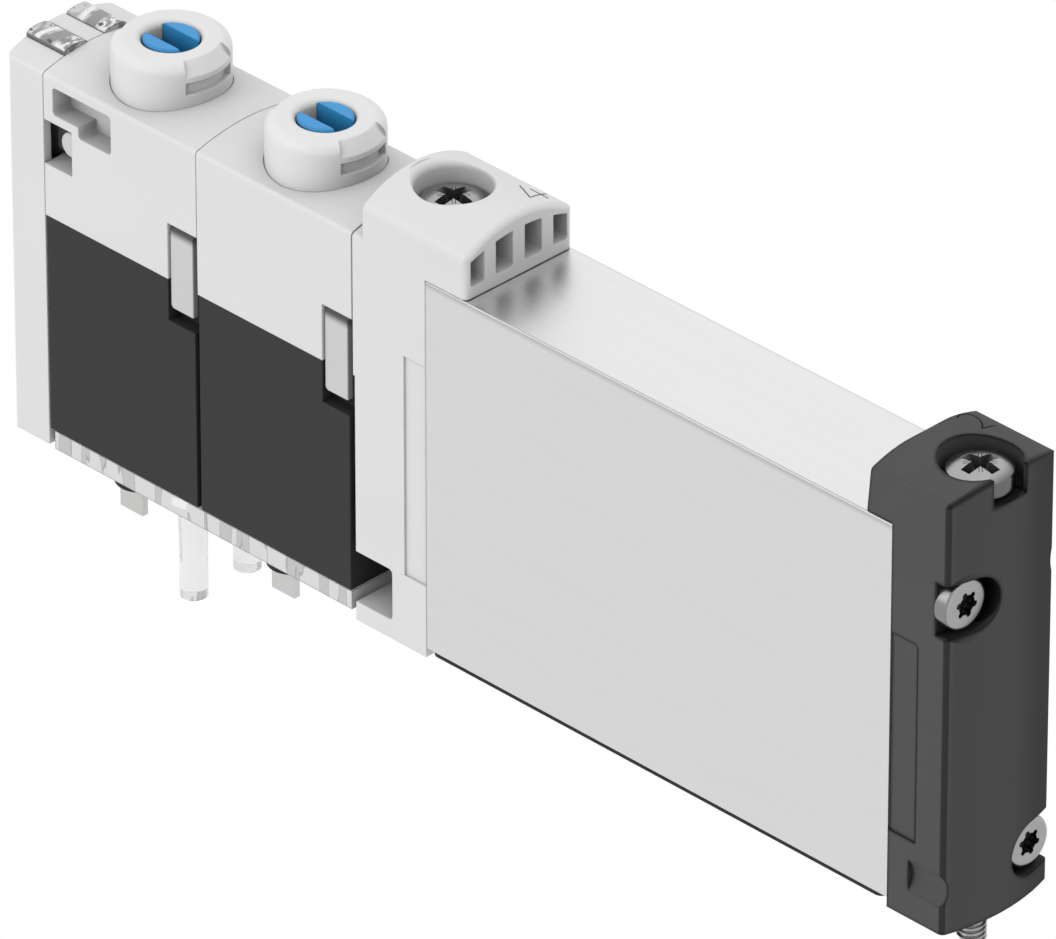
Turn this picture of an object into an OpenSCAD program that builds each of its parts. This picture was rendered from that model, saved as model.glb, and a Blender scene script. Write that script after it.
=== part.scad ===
// Plug-in 5/2 directional valve for compressed air, 10 mm wide, with two solenoid
// pilot valves side by side on its left end. It is screwed onto a sub-base that
// holds the five air ports and the electrical sockets.
// Origin: middle of the two mounting screws, on the gasket's underside, the plane
// that meets the sub-base.
// +X points to the black end cap, +Z away from the sub-base. Millimetres.

/* [Valve body] */
// Width of the whole valve across its side faces
body_w = 10; // [10:0.25:12]
// Length of the metal body
body_len = 43; // [42:0.5:46]
// Height of the top of the metal body
body_h = 29.1; // [28.6:0.1:30]
// Radius of the body's long top edges
body_edge_r = 0.15; // [0.1:0.05:0.6]
// Height of the spool axis
spool_z = 15.5; // [14.5:0.25:16.5]
// Diameter of the spool bore
bore_d = 7.4; // [6.8:0.1:7.6]

/* [Ports] */
// Diameter of the five air ports in the underside
port_d = 3.6; // [3:0.1:4]
// Distance between two neighbouring air ports
port_pitch = 7.6; // [7.4:0.1:7.8]
// Depth of the ring-shaped chamber where a port meets the bore
port_chamber = 0.4; // [0.2:0.1:0.6]
// Diameter of the small pilot air channels
pilot_d = 0.8; // [0.6:0.05:0.9]

/* [Base gasket] */
// Thickness of the gasket between the body and the sub-base
gasket_t = 0.3; // [0.2:0.05:0.5]
// Distance of the gasket from the body's end faces
gasket_end_inset = 0.45; // [0.3:0.05:0.8]
// Radius of the gasket's corners
gasket_corner_r = 0.6; // [0.3:0.05:1]
// How far the gasket's rib reaches up into the body
gasket_seat = 0.5; // [0.3:0.05:0.8]
// Distance of that rib from the body's side faces
gasket_inset = 0.7; // [0.5:0.05:1]
// Width of the sealing land round each port
port_land = 0.35; // [0.2:0.05:0.5]

/* [Mounting screws] */
// Thread diameter
screw_d = 2; // [1.8:0.1:2.1]
// Head diameter
screw_head_d = 4.65; // [4.2:0.05:4.8]
// Head height
screw_head_h = 1.7; // [1.4:0.1:1.9]
// Height of the dome on top of the head's straight side
screw_dome_h = 0.5; // [0.3:0.05:0.8]
// Distance of the cover's screw from the body's end
cover_screw_x = 2.3; // [2.2:0.05:2.5]
// Distance of the cap's screw from the body's end
cap_screw_x = 3; // [2.8:0.05:3.2]
// Height of the top of the cover's screw head
cover_head_top = 32.8; // [32.4:0.1:33]
// Height of the top of the cap's screw head
cap_head_top = 33.05; // [32.8:0.05:33.2]
// How far the threads reach below the gasket
screw_reach = 4; // [3:0.1:5]
// Diameter of the head's well in the cover
cover_well_d = 5.4; // [5.2:0.1:5.6]
// Diameter of the head's well in the end cap
cap_well_d = 5.7; // [5.5:0.1:5.8]

/* [Cover] */
// Length of the white cover between the pilots and the body
cover_len = 6.95; // [6.8:0.05:7.4]
// Height of the top of the cover along the middle
cover_apex = 33.87; // [33.6:0.05:34.2]
// Drop of the cover's crowned top towards the side faces
cover_crown = 1.5; // [1:0.05:1.7]
// How far the cover's lip reaches over the body
cover_overhang = 3.85; // [3.6:0.05:4.2]
// Length of the low ledge beside the second pilot
cover_ledge = 1.05; // [0.8:0.05:1.3]
// Radius of the cover's long top edges
cover_edge_r = 0.8; // [0.5:0.1:1]
// Radius of the edges round the lip's face
lip_edge_r = 0.5; // [0.3:0.05:0.6]
// Radius of the lip's corners, seen from above
lip_corner_r = 0.42; // [0.3:0.02:0.6]
// Radius of the rounded mouth of the cover's screw well
cover_mouth_r = 0.6; // [0.4:0.05:0.7]
// How far the cover and the cap reach below the gasket
foot_drop = 0.45; // [0.2:0.05:0.5]
// Length of the notch in the cover's lower left corner
notch_len = 3.7; // [3.3:0.05:3.8]
// Height of the lower edge of that notch
notch_z = 1; // [0.8:0.1:1.3]
// Height of the upper edge of that notch
notch_top = 5; // [4.4:0.1:5.6]
// Diameter of the post that the cover's screw passes through
screw_post_d = 4.2; // [3.6:0.1:4.4]
// Height of the lower edge of the four windows in the cover's lip
window_z = 30; // [29.8:0.05:30.3]
// Depth of the four windows
window_depth = 2.3; // [1.5:0.1:2.4]
// Wall between the windows' tops and the cover's crown
window_roof = 1.1; // [0.9:0.05:1.3]
// Drop of the windows' tops towards the side faces
window_crown = 1; // [0.7:0.05:1.2]

/* [End cap] */
// Height of the top of the end cap along the middle
cap_apex = 33.5; // [33.3:0.05:34]
// Drop of the cap's crowned top towards the side faces
cap_crown = 0.95; // [0.6:0.05:1.1]
// Length of the end cap beyond the body, in the middle
cap_len = 5.8; // [5.6:0.05:6.4]
// Bow of the cap's end face, from the middle to the edges
cap_bow = 0.83; // [0.5:0.05:1]
// How far the cap reaches over the body
cap_overhang = 2.25; // [2:0.05:2.6]
// Radius of the cap's top edges
cap_edge_r = 0.35; // [0.2:0.05:0.5]
// Radius of the cap's upright corners
cap_corner_r = 0.45; // [0.3:0.05:0.8]
// Width of the slot between the screw well and the end face
cap_slot_w = 3.1; // [2.8:0.1:3.4]
// Height of that slot's floor
cap_slot_z = 31.2; // [31:0.05:31.3]
// Depth of the hollows that clear the neighbouring valve's screw heads
scoop_depth = 0.4; // [0.3:0.05:0.5]
// Height of those hollows
scoop_h = 2.42; // [2:0.02:2.6]
// Depth of the shallow panels in the sides of the cover and the cap
panel_depth = 0.15; // [0.05:0.05:0.3]

/* [Housing screws] */
// Thread diameter of the screws that hold the cap and the cover to the body
fix_d = 2; // [1.8:0.1:2.1]
// Head diameter of those screws
fix_head_d = 3.8; // [3.4:0.1:3.9]
// Head height of those screws
fix_head_h = 1.1; // [0.9:0.05:1.2]
// Radius of those heads' six-lobed socket
socket_r = 0.98; // [0.8:0.02:1.1]
// Distance of those screws from the middle plane
fix_y = 3.2; // [3.1:0.05:3.25]
// Height of the upper screws
fix_top_z = 24.4; // [24:0.1:24.8]
// Height of the cap's lower screw
fix_low_z = 3.1; // [2.9:0.1:3.4]
// Height of the cover's lower screw
fix_cover_low = 8.6; // [8.4:0.1:9]
// Height of the cover's upper screw
fix_cover_top = 20.3; // [20.1:0.1:20.5]
// Distance of the cover's screws from the middle plane
fix_cover_y = 2.6; // [2.5:0.05:2.7]
// Half height of the pockets round the cap's screw heads
pocket_r = 2.05; // [2:0.01:2.1]
// How deep those pockets go below the middle of the end face
pocket_depth = 1.85; // [1.7:0.05:1.95]

/* [Pilot valves] */
// Length of one pilot valve
pilot_pitch = 14.95; // [14.8:0.05:15.4]
// Height of the underside of the coil blocks
coil_z = 1.65; // [1.6:0.05:1.9]
// Height of the joint between a coil block and its white housing
joint_z = 18.7; // [18.5:0.05:18.9]
// Height of the top of the white housings along the middle
pilot_apex = 30.6; // [30.5:0.05:30.9]
// Drop of the housings' crowned top towards the side faces
pilot_crown = 0.77; // [0.5:0.05:0.9]
// Radius of the housings' top edges
pilot_edge_r = 0.35; // [0.2:0.05:0.5]
// Distance of the solenoid axis from a pilot's left end
axis_x = 7.4; // [7.2:0.05:7.6]
// Gap between a coil block and what stands to its right
coil_gap = 0.3; // [0.2:0.05:0.4]
// Gap that shows between two white housings
seam = 0.06; // [0.03:0.01:0.1]
// Side wall of the coil blocks
coil_wall = 0.8; // [0.6:0.05:0.9]

/* [Solenoids] */
// Diameter of the armature
armature_d = 3; // [2.8:0.1:3.1]
// Working stroke of the armature
armature_stroke = 0.48; // [0.4:0.02:0.54]
// Gap that stays between the armature and the fixed core, with the coil on
rest_gap = 0.22; // [0.1:0.02:0.4]
// Height of the top of the fixed core
core_top = 9.3; // [8.5:0.1:10]
// Thickness of the steel yoke
yoke_t = 1.1; // [0.9:0.1:1.2]
// Height of the top of the armature's collar, with the coil off
collar_z = 22.2; // [22:0.05:22.4]
// Diameter of the nozzle insert
nozzle_d = 2; // [1.8:0.1:2.1]

/* [Contacts] */
// Width of a contact blade
blade_w = 2.2; // [2:0.1:2.4]
// Thickness of a contact blade
blade_t = 0.5; // [0.4:0.05:0.6]
// Distance of the blades' middle from the side faces
blade_side = 1.45; // [1.4:0.01:1.5]
// How far the blades reach below the gasket
blade_reach = 2.6; // [2:0.1:3.2]
// Distance of the blades from a pilot's left end
blade_x = 6.8; // [6.6:0.05:7]
// Diameter of the rubber seal round a blade
boot_d = 3.7; // [3.5:0.05:3.8]
// How far the rubber seals reach below the gasket
boot_reach = 0.45; // [0.3:0.05:0.6]

/* [Light guides] */
// Height of the underside of the clear plate
guide_z = 0.16; // [0.1:0.02:0.2]
// Thickness of the clear plate
guide_t = 1.44; // [1.3:0.02:1.44]
// Diameter of the light pins at their tips
light_pin_d = 2; // [1.8:0.05:2.1]
// Diameter of the light pins where they leave the plate
light_pin_root_d = 2.15; // [2.1:0.05:2.3]
// How far the light pins reach below the gasket
light_pin_reach = 7.75; // [6:0.05:8.5]
// Distance of the light pins from the middle plane
light_pin_y = 2.55; // [2.4:0.05:2.6]
// Distance of the light pins from the second pilot's left end
light_pin_x = 3.35; // [3.2:0.05:3.6]
// Width of a lens in the top of the end housing
lens_w = 2.1; // [1.8:0.05:2.2]
// Distance of a lens's middle from the middle plane
lens_y = 1.85; // [1.75:0.05:1.9]
// How far a lens stands out of the crowned top
lens_proud = 0.25; // [0.15:0.01:0.35]

/* [End housing] */
// Length of the end housing
end_len = 3.95; // [3.8:0.05:4.4]
// Bow of the end housing's end face
end_bow = 0.4; // [0.2:0.05:0.5]
// Height of the end housing's underside
end_z = 0.3; // [0.3:0.05:0.5]
// Wall of the end housing
end_wall = 0.7; // [0.6:0.05:0.8]

/* [Manual overrides] */
// Outer diameter of the white override domes
dome_d = 8.3; // [8:0.1:8.5]
// Height of the top of the domes
dome_top = 33.8; // [33.4:0.05:34]
// Radius of a dome's outer top edge
dome_edge_r = 0.9; // [0.7:0.1:1.2]
// Radius of the rounded mouth round the button
dome_mouth_r = 0.55; // [0.3:0.05:0.6]
// Diameter of the blue button
button_d = 3.92; // [3.7:0.02:4.1]
// Height of the top of the button
button_top = 33.75; // [33.6:0.05:33.8]
// Width of the screwdriver slot
slot_w = 1.7; // [1:0.1:1.8]
// Depth of the screwdriver slot
slot_depth = 1.9; // [1:0.1:1.9]
// How far the button can be pressed
press_travel = 0.8; // [0.7:0.02:0.84]
// Running clearance between a moving round piece and its hole
running = 0.05; // [0.03:0.01:0.08]

/* [Retaining clips] */
// Height of a clip's lower edge
clip_z = 16.5; // [16.2:0.1:16.8]
// Height of a clip's upper edge
clip_top = 23.05; // [22.8:0.05:23.2]
// Width of a clip along the valve
clip_w = 2.35; // [2.1:0.05:2.5]
// Chamfer round a clip's face
clip_chamfer = 0.25; // [0.1:0.05:0.35]
// Depth of the pocket in front of a clip
clip_sink = 0.12; // [0.05:0.01:0.2]

/* [Hidden] */
$fn = 64;
overlap = 0.05;
eps = 0.01;
cut = 1;
half_w = body_w / 2;

// Stations along the valve
screw_pitch = body_len + cover_screw_x + cap_screw_x;
body_x0 = -screw_pitch / 2 + cover_screw_x;
body_x1 = body_x0 + body_len;
body_mid = (body_x0 + body_x1) / 2;
cover_x0 = body_x0 - cover_len;
cap_x1 = body_x1 + cap_len;
cover_screw = body_x0 - cover_screw_x;
cap_screw = body_x1 + cap_screw_x;
function pilot_x0(n) = cover_x0 - (3 - n) * pilot_pitch;
function axis_at(n) = pilot_x0(n) + axis_x;
end_x1 = pilot_x0(1);
end_x0 = end_x1 - end_len;

// Spool and pistons
ring_t = 1;
ring_r = bore_d / 2 - running - ring_t / 2;
land_d = bore_d - 0.8;
spool_core_d = 3.4;
spool_travel = 2;
piston_len = 2;
end_play = 0.3;
spool_mid = body_mid - spool_travel / 2;
spool_len = body_len - 2 * (end_play + piston_len) - spool_travel;
inner_seal = 1.6;
outer_seal = 2 * port_pitch - 2.2;

// Screws
shank_clear = 0.1;
thread_gap = 0.03;
thread_core = 0.85;
fix_grip = 5;
pocket_floor_x = cap_x1 - pocket_depth;
fix_seat_x = cover_x0 + 1.7;

// Gaskets between the housings
flat_gasket_t = 0.3;
flat_gasket_y = half_w - 0.9;

// Pilot air: supply from the underside through the cover to both nozzles, and
// one outlet from each pilot chamber to a piston
air_z = 25;
air_y = 1.7;
feed_level = 6.3;
feed_x = 2.6;
feed_drop_x = 1.2;
out_y = 2.6;
out_z = 22.9;
out_drop_x = 2.9;
piston_feed_z = 17.4;
gasket_low = 11;
gasket_high = 26.3;

// Pilot valve levels, from the top down
touch = 0.02;
dome_seat = 28.6;
ledge_z = 30.4;
flange_t = 0.8;
flange_gap = 0.03;
flange_top = ledge_z - flange_gap;
flange_d = 6;
spring_well_d = 6.3;
wall_top = 26.6;
wall_low = 23.6;
chamber_d = 5.6;
leg_x = 1.9;
leg_t = 1;
leg_w = 1.6;
leg_clear = 0.1;
leg_gap = press_travel - armature_stroke + touch;
leg_foot = collar_z + leg_gap;
collar_d = 5;
collar_t = 0.8;
pad_d = 1.9;
pad_t = 0.9;
pad_proud = 0.28;
nozzle_foot = collar_z + pad_proud + touch;
spigot_d = 1.5;
spigot_h = 1;

// Solenoid levels, from the bottom up
coil_floor = 1;
yoke_z = coil_z + coil_floor;
yoke_top = joint_z - 0.1;
bobbin_z = yoke_z + yoke_t;
bobbin_top = yoke_top - yoke_t;
bobbin_flange = 0.7;
tube_wall = 0.5;
cavity_clear = 0.05;
bobbin_d = body_w - 2 * coil_wall - 2 * cavity_clear;
winding_d = bobbin_d - 0.3;
core_gap = armature_stroke + rest_gap;
tube_d = armature_d + 2 * running;
yoke_half = 6.2;
blade_y = half_w - blade_side;
boot_y = blade_y - 0.7;
yoke_clear = 0.4;
yoke_w = 2 * (blade_y - blade_t / 2 - yoke_clear);
wire_clear = 0.15;
coil_len = pilot_pitch - coil_gap;

// Light guides
guide_clear = 0.05;
guide_split = 0.1;
guide_x0 = end_x0 + end_wall + guide_clear;
guide_x1 = cover_x0 - 0.2;
riser_x1 = end_x1 - 0.6;
riser_w = lens_w;
light_pin_at = pilot_x0(2) - light_pin_x;
pin_cyl = 3;
boot_clear = 0.05;

// Clip pockets
clip_clear = 0.18;
clip_pocket_w = clip_w + 0.55;
clip_pocket_z = clip_z - 1.05;
clip_pocket_top = clip_top + 0.08;
clip_leg = 1;
clip_x = pilot_pitch - clip_pocket_w;

// Outline with straight sides and a crowned, round-cornered top. It spans
// w sideways and rises from low to apex, the crown falling by drop at its edges.
module crowned(w, low, apex, drop, r) {
    big = (w * w / 4 + drop * drop) / (2 * drop);
    corner = w / 2 - r;
    corner_z = apex - big + sqrt(pow(big - r, 2) - corner * corner);
    meet = corner * big / (big - r) - overlap;
    translate([-w / 2, low])
        square([w, corner_z - low]);
    for (side = [-1, 1])
        translate([side * corner, corner_z])
            circle(r);
    intersection() {
        translate([0, apex - big])
            circle(big, $fn = 240);
        translate([-meet, low])
            square([2 * meet, apex - low + cut]);
    }
}

// Rectangle with rounded corners, from corner a to corner b
module rounded(a, b, r) {
    translate([a[0] + r, a[1]])
        square([b[0] - a[0] - 2 * r, b[1] - a[1]]);
    translate([a[0], a[1] + r])
        square([b[0] - a[0], b[1] - a[1] - 2 * r]);
    for (u = [a[0] + r, b[0] - r], v = [a[1] + r, b[1] - r])
        translate([u, v])
            circle(r, $fn = 32);
}

// Extrudes an outline drawn as Y sideways and Z up along X, from x0 to x1
module along_x(x0, x1) {
    translate([x0, 0, 0])
        rotate([90, 0, 90])
            linear_extrude(x1 - x0)
                children();
}

// Extrudes an outline drawn as X sideways and Z up along Y, from y0 to y1
module along_y(y0, y1) {
    translate([0, y1, 0])
        rotate([90, 0, 0])
            linear_extrude(y1 - y0)
                children();
}

// Round rod or hole along X, Y or Z, from the point p over a length
module rod_x(p, d, length) {
    translate(p)
        rotate([0, 90, 0])
            cylinder(d = d, h = length);
}
module rod_y(p, d, length) {
    translate(p)
        rotate([-90, 0, 0])
            cylinder(d = d, h = length);
}
module rod_z(p, d, length) {
    translate(p)
        cylinder(d = d, h = length);
}

// Box from corner a to corner b
module block(a, b) {
    translate(a)
        cube(b - a);
}

// Round wire wound into a spring with ground-flat ends, mean radius r
module coil_spring(r, wire, z0, z1, turns) {
    sides = 8;
    steps = 14;
    last = turns * steps;
    rise = z1 - z0 - wire;
    ring = [for (k = [0 : sides - 1]) [cos(360 * k / sides), sin(360 * k / sides)] * wire / 2];
    points = [for (i = [0 : last], q = ring)
        let (a = 360 * i / steps)
        [(r + q[0]) * cos(a), (r + q[0]) * sin(a), z0 + wire / 2 + rise * i / last + q[1]]];
    walls = [for (i = [0 : last - 1], k = [0 : sides - 1])
        let (n = (k + 1) % sides)
        [i * sides + k, (i + 1) * sides + k, (i + 1) * sides + n, i * sides + n]];
    first_cap = [for (k = [0 : sides - 1]) k];
    last_cap = [for (k = [sides - 1 : -1 : 0]) last * sides + k];
    polyhedron(points, concat([first_cap], walls, [last_cap]), convexity = 8);
}

// Sealing ring with a round section
module seal_ring(x, r, t) {
    translate([x, 0, spool_z])
        rotate([0, 90, 0])
            rotate_extrude()
                translate([r, 0])
                    circle(d = t, $fn = 24);
}

function port_x(i) = body_mid + (i - 2) * port_pitch;

// Outline of the gasket's rib, sunk into the body
module rib_outline() {
    x0 = body_x0 + gasket_end_inset + gasket_inset;
    x1 = body_x1 - gasket_end_inset - gasket_inset;
    y = half_w - gasket_inset;
    rounded([x0, -y], [x1, y], 1.2);
}

module valve_body() {
    color("silver")
    difference() {
        along_x(body_x0, body_x1)
            rounded_top(body_w, gasket_t, body_h, body_edge_r);
        rod_x([body_x0 - cut, 0, spool_z], bore_d, body_len + 2 * cut);
        for (i = [0 : 4]) {
            rod_z([port_x(i), 0, -cut], port_d, spool_z + cut);
            rod_x([port_x(i) - port_d / 2, 0, spool_z], bore_d + 2 * port_chamber, port_d);
        }
        linear_extrude(gasket_t + gasket_seat)
            rib_outline();
        // Channel that takes pilot air to the far piston, above the bore
        rod_x([body_x0 - cut, -air_y, air_z], pilot_d, body_len + 2 * cut);
        // Pilot supply, from the underside to the cover's side
        rod_z([body_x0 + feed_x, air_y, -cut], pilot_d, feed_level + cut);
        rod_x([body_x0 - cut, air_y, feed_level], pilot_d, feed_x + cut);
        fixing_holes(body_x0 - cut, cover_fixings());
        fixing_holes(body_x1 - fix_grip, cap_fixings());
    }
}

module rounded_top(w, low, high, r) {
    translate([-w / 2, low])
        square([w, high - r - low]);
    translate([-w / 2 + r, low])
        square([w - 2 * r, high - low]);
    for (side = [-1, 1])
        translate([side * (w / 2 - r), high - r])
            circle(r, $fn = 32);
}

// Positions of the housing screws, as [y, z]
function cover_fixings() = [[-fix_cover_y, fix_cover_top], [-fix_cover_y, fix_cover_low]];
function cap_fixings() = [[-fix_y, fix_top_z], [fix_y, fix_low_z]];

module fixing_holes(x, places) {
    for (p = places)
        rod_x([x, p[0], p[1]], fix_d * thread_core, fix_grip + cut);
}

module base_gasket() {
    color("dimgray")
    difference() {
        union() {
            linear_extrude(gasket_t)
                rounded([body_x0 + gasket_end_inset, -half_w], [body_x1 - gasket_end_inset, half_w],
                        gasket_corner_r);
            linear_extrude(gasket_t + gasket_seat)
                rib_outline();
        }
        for (i = [0 : 4])
            rod_z([port_x(i), 0, -cut], port_d + 2 * port_land, body_h);
        rod_z([body_x0 + feed_x, air_y, -cut], pilot_d + port_land, body_h);
    }
}

module spool() {
    color("gainsboro")
    translate([spool_mid, 0, 0])
    difference() {
        union() {
            rod_x([-spool_len / 2, 0, spool_z], spool_core_d, spool_len);
            for (side = [-1, 1]) {
                rod_x([side * outer_seal - 1, 0, spool_z], land_d, 2);
                rod_x([side * spool_len / 2 - (side > 0 ? 1.2 : 0), 0, spool_z], land_d, 1.2);
            }
            rod_x([-inner_seal - 1, 0, spool_z], land_d, 2 * inner_seal + 2);
        }
        for (x = [-outer_seal, -inner_seal, inner_seal, outer_seal])
            ring_groove(x);
    }
}

module ring_groove(x) {
    width = ring_t + 0.2;
    difference() {
        rod_x([x - width / 2, 0, spool_z], bore_d + cut, width);
        rod_x([x - width, 0, spool_z], 2 * ring_r - ring_t, 2 * width);
    }
}

module spool_seals() {
    color("black")
    for (x = [-outer_seal, -inner_seal, inner_seal, outer_seal])
        seal_ring(spool_mid + x, ring_r, ring_t);
}

piston_left = spool_mid - spool_len / 2 - piston_len;
piston_right = spool_mid + spool_len / 2;
piston_groove = 0.7;

module piston(x0) {
    groove_x = x0 + piston_len / 2;
    difference() {
        rod_x([x0, 0, spool_z], bore_d - 0.3, piston_len);
        difference() {
            rod_x([groove_x - piston_groove / 2, 0, spool_z], bore_d + cut, piston_groove);
            rod_x([x0 - cut, 0, spool_z], 2 * piston_ring_r - piston_ring_t, piston_len + 2 * cut);
        }
    }
}
piston_ring_t = 0.6;
piston_ring_r = bore_d / 2 - running - piston_ring_t / 2;

module piston_14() {
    color("ivory")
    piston(piston_left);
}

module piston_12() {
    color("ivory")
    piston(piston_right);
}

module piston_seals() {
    color("black")
    for (x0 = [piston_left, piston_right])
        seal_ring(x0 + piston_len / 2, piston_ring_r, piston_ring_t);
}

// Cut of a screw well with a rounded mouth, from the seat up to the top
module well(x, seat, d, mouth_r, mouth_z) {
    rod_z([x, 0, seat], d, mouth_z - seat + cut);
    translate([x, 0, mouth_z - mouth_r])
        rotate_extrude()
            difference() {
                square([d / 2 + mouth_r, mouth_r + cut]);
                translate([d / 2 + mouth_r, 0])
                    circle(mouth_r, $fn = 32);
            }
}

cover_panel_len = 2.05;
cover_panel_low = 5.15;
cover_panel_top = 22.4;
cap_panel_len = 2.4;
cap_panel_low = 5.6;
cap_panel_top = 20.9;

// Shallow panels sunk into both side faces, between x0 and x1
module side_panels(x0, x1, z0, z1) {
    for (side = [-1, 1])
        block([x0, side * half_w - panel_depth, z0], [x1, side * half_w + panel_depth, z1]);
}

module cover_shell() {
    // Lower part beside the body, as high as the pilot housings
    along_x(cover_x0 + seam, body_x0)
        crowned(body_w, -foot_drop, pilot_apex, pilot_crown, pilot_edge_r);
    // Raised head with a lip over the body
    difference() {
        intersection() {
            along_x(head_x0, lip_x)
                crowned(body_w, 0, cover_apex, cover_crown, cover_edge_r);
            linear_extrude(cover_apex + cut)
                head_plan();
            along_y(-body_w, body_w) {
                translate([head_x0 - cut, 0])
                    square([body_x0 - head_x0 + cut, cover_apex + cut]);
                translate([body_x0 - eps, body_h + seam])
                    square([cover_overhang + cut, cover_apex - body_h]);
            }
        }
        lip_rounding();
    }
}
head_x0 = cover_x0 + cover_ledge;
mouth_sink = 0.06;
lip_x = body_x0 + cover_overhang;

// Plan of the raised head: square at the pilots, rounded corners at the lip
module head_plan() {
    translate([head_x0, -half_w])
        square([body_x0 + lip_corner_r - head_x0, body_w]);
    rounded([body_x0 - lip_corner_r, -half_w], [lip_x, half_w], lip_corner_r);
}

// Cut that rounds the edge between the crowned top and the lip's face. It is
// turned round the crown's axis, so that it follows the crown.
module lip_rounding() {
    big = (half_w * half_w + cover_crown * cover_crown) / (2 * cover_crown);
    inner = lip_edge_r * 0.98;
    translate([0, 0, cover_apex - big])
        rotate([0, 90, 0])
            translate([0, 0, lip_x])
                rotate_extrude($fn = 240)
                    difference() {
                        translate([big - inner, -inner])
                            square([lip_edge_r + 1, lip_edge_r + 1]);
                        translate([big - inner, -inner])
                            circle(lip_edge_r, $fn = 64);
                    }
}

module cover() {
    window_y = [-half_w * 0.905, -half_w * 0.435, half_w * 0.105, half_w * 0.64];
    window_w = [half_w * 0.26, half_w * 0.32, half_w * 0.32, half_w * 0.26];
    color("whitesmoke")
    difference() {
        union() {
            difference() {
                cover_shell();
                // Notch in the lower left corner, open to both sides
                along_y(-body_w, body_w)
                    rounded([cover_x0 - cut, notch_z], [cover_x0 + notch_len, notch_top], 0.35);
            }
            rod_z([cover_screw, 0, notch_z - eps], screw_post_d, notch_top - notch_z + 2 * eps);
        }
        // Step that clears the second coil block
        block([cover_x0 - cut, -body_w, -cut - foot_drop],
              [cover_x0 + 0.22, body_w, joint_z + 0.15]);
        well(cover_screw, cover_head_top - screw_head_h, cover_well_d, cover_mouth_r, cover_apex - mouth_sink);
        rod_z([cover_screw, 0, -foot_drop - cut], screw_d + 2 * shank_clear, body_h + cut + foot_drop * 2);
        rod_z([cover_screw, 0, body_h - cut], screw_d + 2 * shank_clear, cover_head_top - body_h);
        side_panels(body_x0 - cover_panel_len, body_x0 + cut, cover_panel_low, cover_panel_top);
        // Four windows in the lip, under a roof that follows the crown
        difference() {
            intersection() {
                along_x(lip_x - window_depth, lip_x + cut)
                    for (i = [0 : 3])
                        rounded([window_y[i], window_z], [window_y[i] + window_w[i], cover_apex + cut], 0.28);
                along_x(lip_x - window_depth, lip_x + cut)
                    crowned(body_w, window_z, cover_apex - window_roof, window_crown, cover_edge_r / 2);
            }
            // Upright rib at the back of the second window
            rod_z([lip_x - window_depth, window_y[1] + window_w[1] / 2, window_z - cut], 0.9, cover_apex);
        }
        gasket_plate(body_x0 - flat_gasket_t, flat_gasket_t + cut);
        screw_pockets(cover_x0, fix_seat_x, body_x0, cover_fixings());
        // Supply: up from the body and out to the pilots
        rod_x([cover_x0 + feed_drop_x, air_y, feed_level], pilot_d, cover_len + cut);
        rod_z([cover_x0 + feed_drop_x, air_y, feed_level], pilot_d, air_z - feed_level);
        rod_x([cover_x0 - cut, air_y, air_z], pilot_d, feed_drop_x + cut);
        // Outlet of the first pilot, straight through to the body
        rod_x([cover_x0 - cut, -air_y, air_z], pilot_d, cover_len + 2 * cut);
        // Outlet of the second pilot, down to the near piston
        rod_x([cover_x0 - cut, out_y, out_z], pilot_d - 0.1, out_drop_x + cut);
        rod_z([cover_x0 + out_drop_x, out_y, piston_feed_z], pilot_d - 0.1, out_z - piston_feed_z);
        rod_x([cover_x0 + out_drop_x, out_y, piston_feed_z], pilot_d - 0.1, cover_len);
    }
}

// Counterbores from the left face for the cover's two screws
module screw_pockets(x0, seat, x1, places) {
    for (p = places) {
        rod_x([x0 - cut, p[0], p[1]], fix_head_d + 0.3, seat - x0 + cut);
        rod_x([seat - eps, p[0], p[1]], fix_d + 2 * shank_clear, x1 - seat + cut);
    }
}

// Flat gasket between the body and the cover or the cap
module gasket_plate(x0, t) {
    along_x(x0, x0 + t)
        rounded([-flat_gasket_y, gasket_low], [flat_gasket_y, gasket_high], 1);
}
module end_gasket(x0, places) {
    difference() {
        gasket_plate(x0, flat_gasket_t);
        rod_x([x0 - cut, 0, spool_z], bore_d - 0.6, flat_gasket_t + 2 * cut);
        rod_x([x0 - cut, -air_y, air_z], pilot_d, flat_gasket_t + 2 * cut);
        for (p = places)
            rod_x([x0 - cut, p[0], p[1]], fix_d, flat_gasket_t + 2 * cut);
    }
}

module cover_gasket() {
    color("dimgray")
    end_gasket(body_x0 - flat_gasket_t, cover_fixings());
}

module cap_gasket() {
    color("dimgray")
    end_gasket(body_x1, cap_fixings());
}

// Button-head screw with a six-lobed socket. It points along -X from its head,
// whose flat seat is at x.
module fixing_screw(x, y, z, dir) {
    translate([x, y, z])
        rotate([0, dir * 90, 0])
            difference() {
                union() {
                    rod_z([0, 0, -fix_shank(x, dir)], fix_d * thread_core, fix_shank(x, dir) + eps);
                    rotate_extrude() {
                        square([fix_head_d / 2, fix_head_h - 0.35]);
                        square([fix_head_d / 2 - 0.35, fix_head_h]);
                        translate([fix_head_d / 2 - 0.35, fix_head_h - 0.35])
                            circle(0.35, $fn = 32);
                    }
                }
                translate([0, 0, fix_head_h - 0.6])
                    linear_extrude(cut)
                        lobed_socket();
            }
}
function fix_shank(x, dir) = (dir > 0 ? x - body_x1 : body_x0 - x) + fix_grip - 0.5;

module lobed_socket() {
    circle(socket_r * 0.74, $fn = 24);
    for (a = [0 : 60 : 300])
        rotate(a + 15)
            translate([socket_r * 0.78, 0])
                circle(socket_r * 0.22, $fn = 16);
}

module cover_fixing_screws() {
    color("silver")
    for (p = cover_fixings())
        fixing_screw(fix_seat_x, p[0], p[1], -1);
}

module cap_fixing_screws() {
    color("silver")
    for (p = cap_fixings())
        fixing_screw(pocket_floor_x, p[0], p[1], 1);
}

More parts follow.
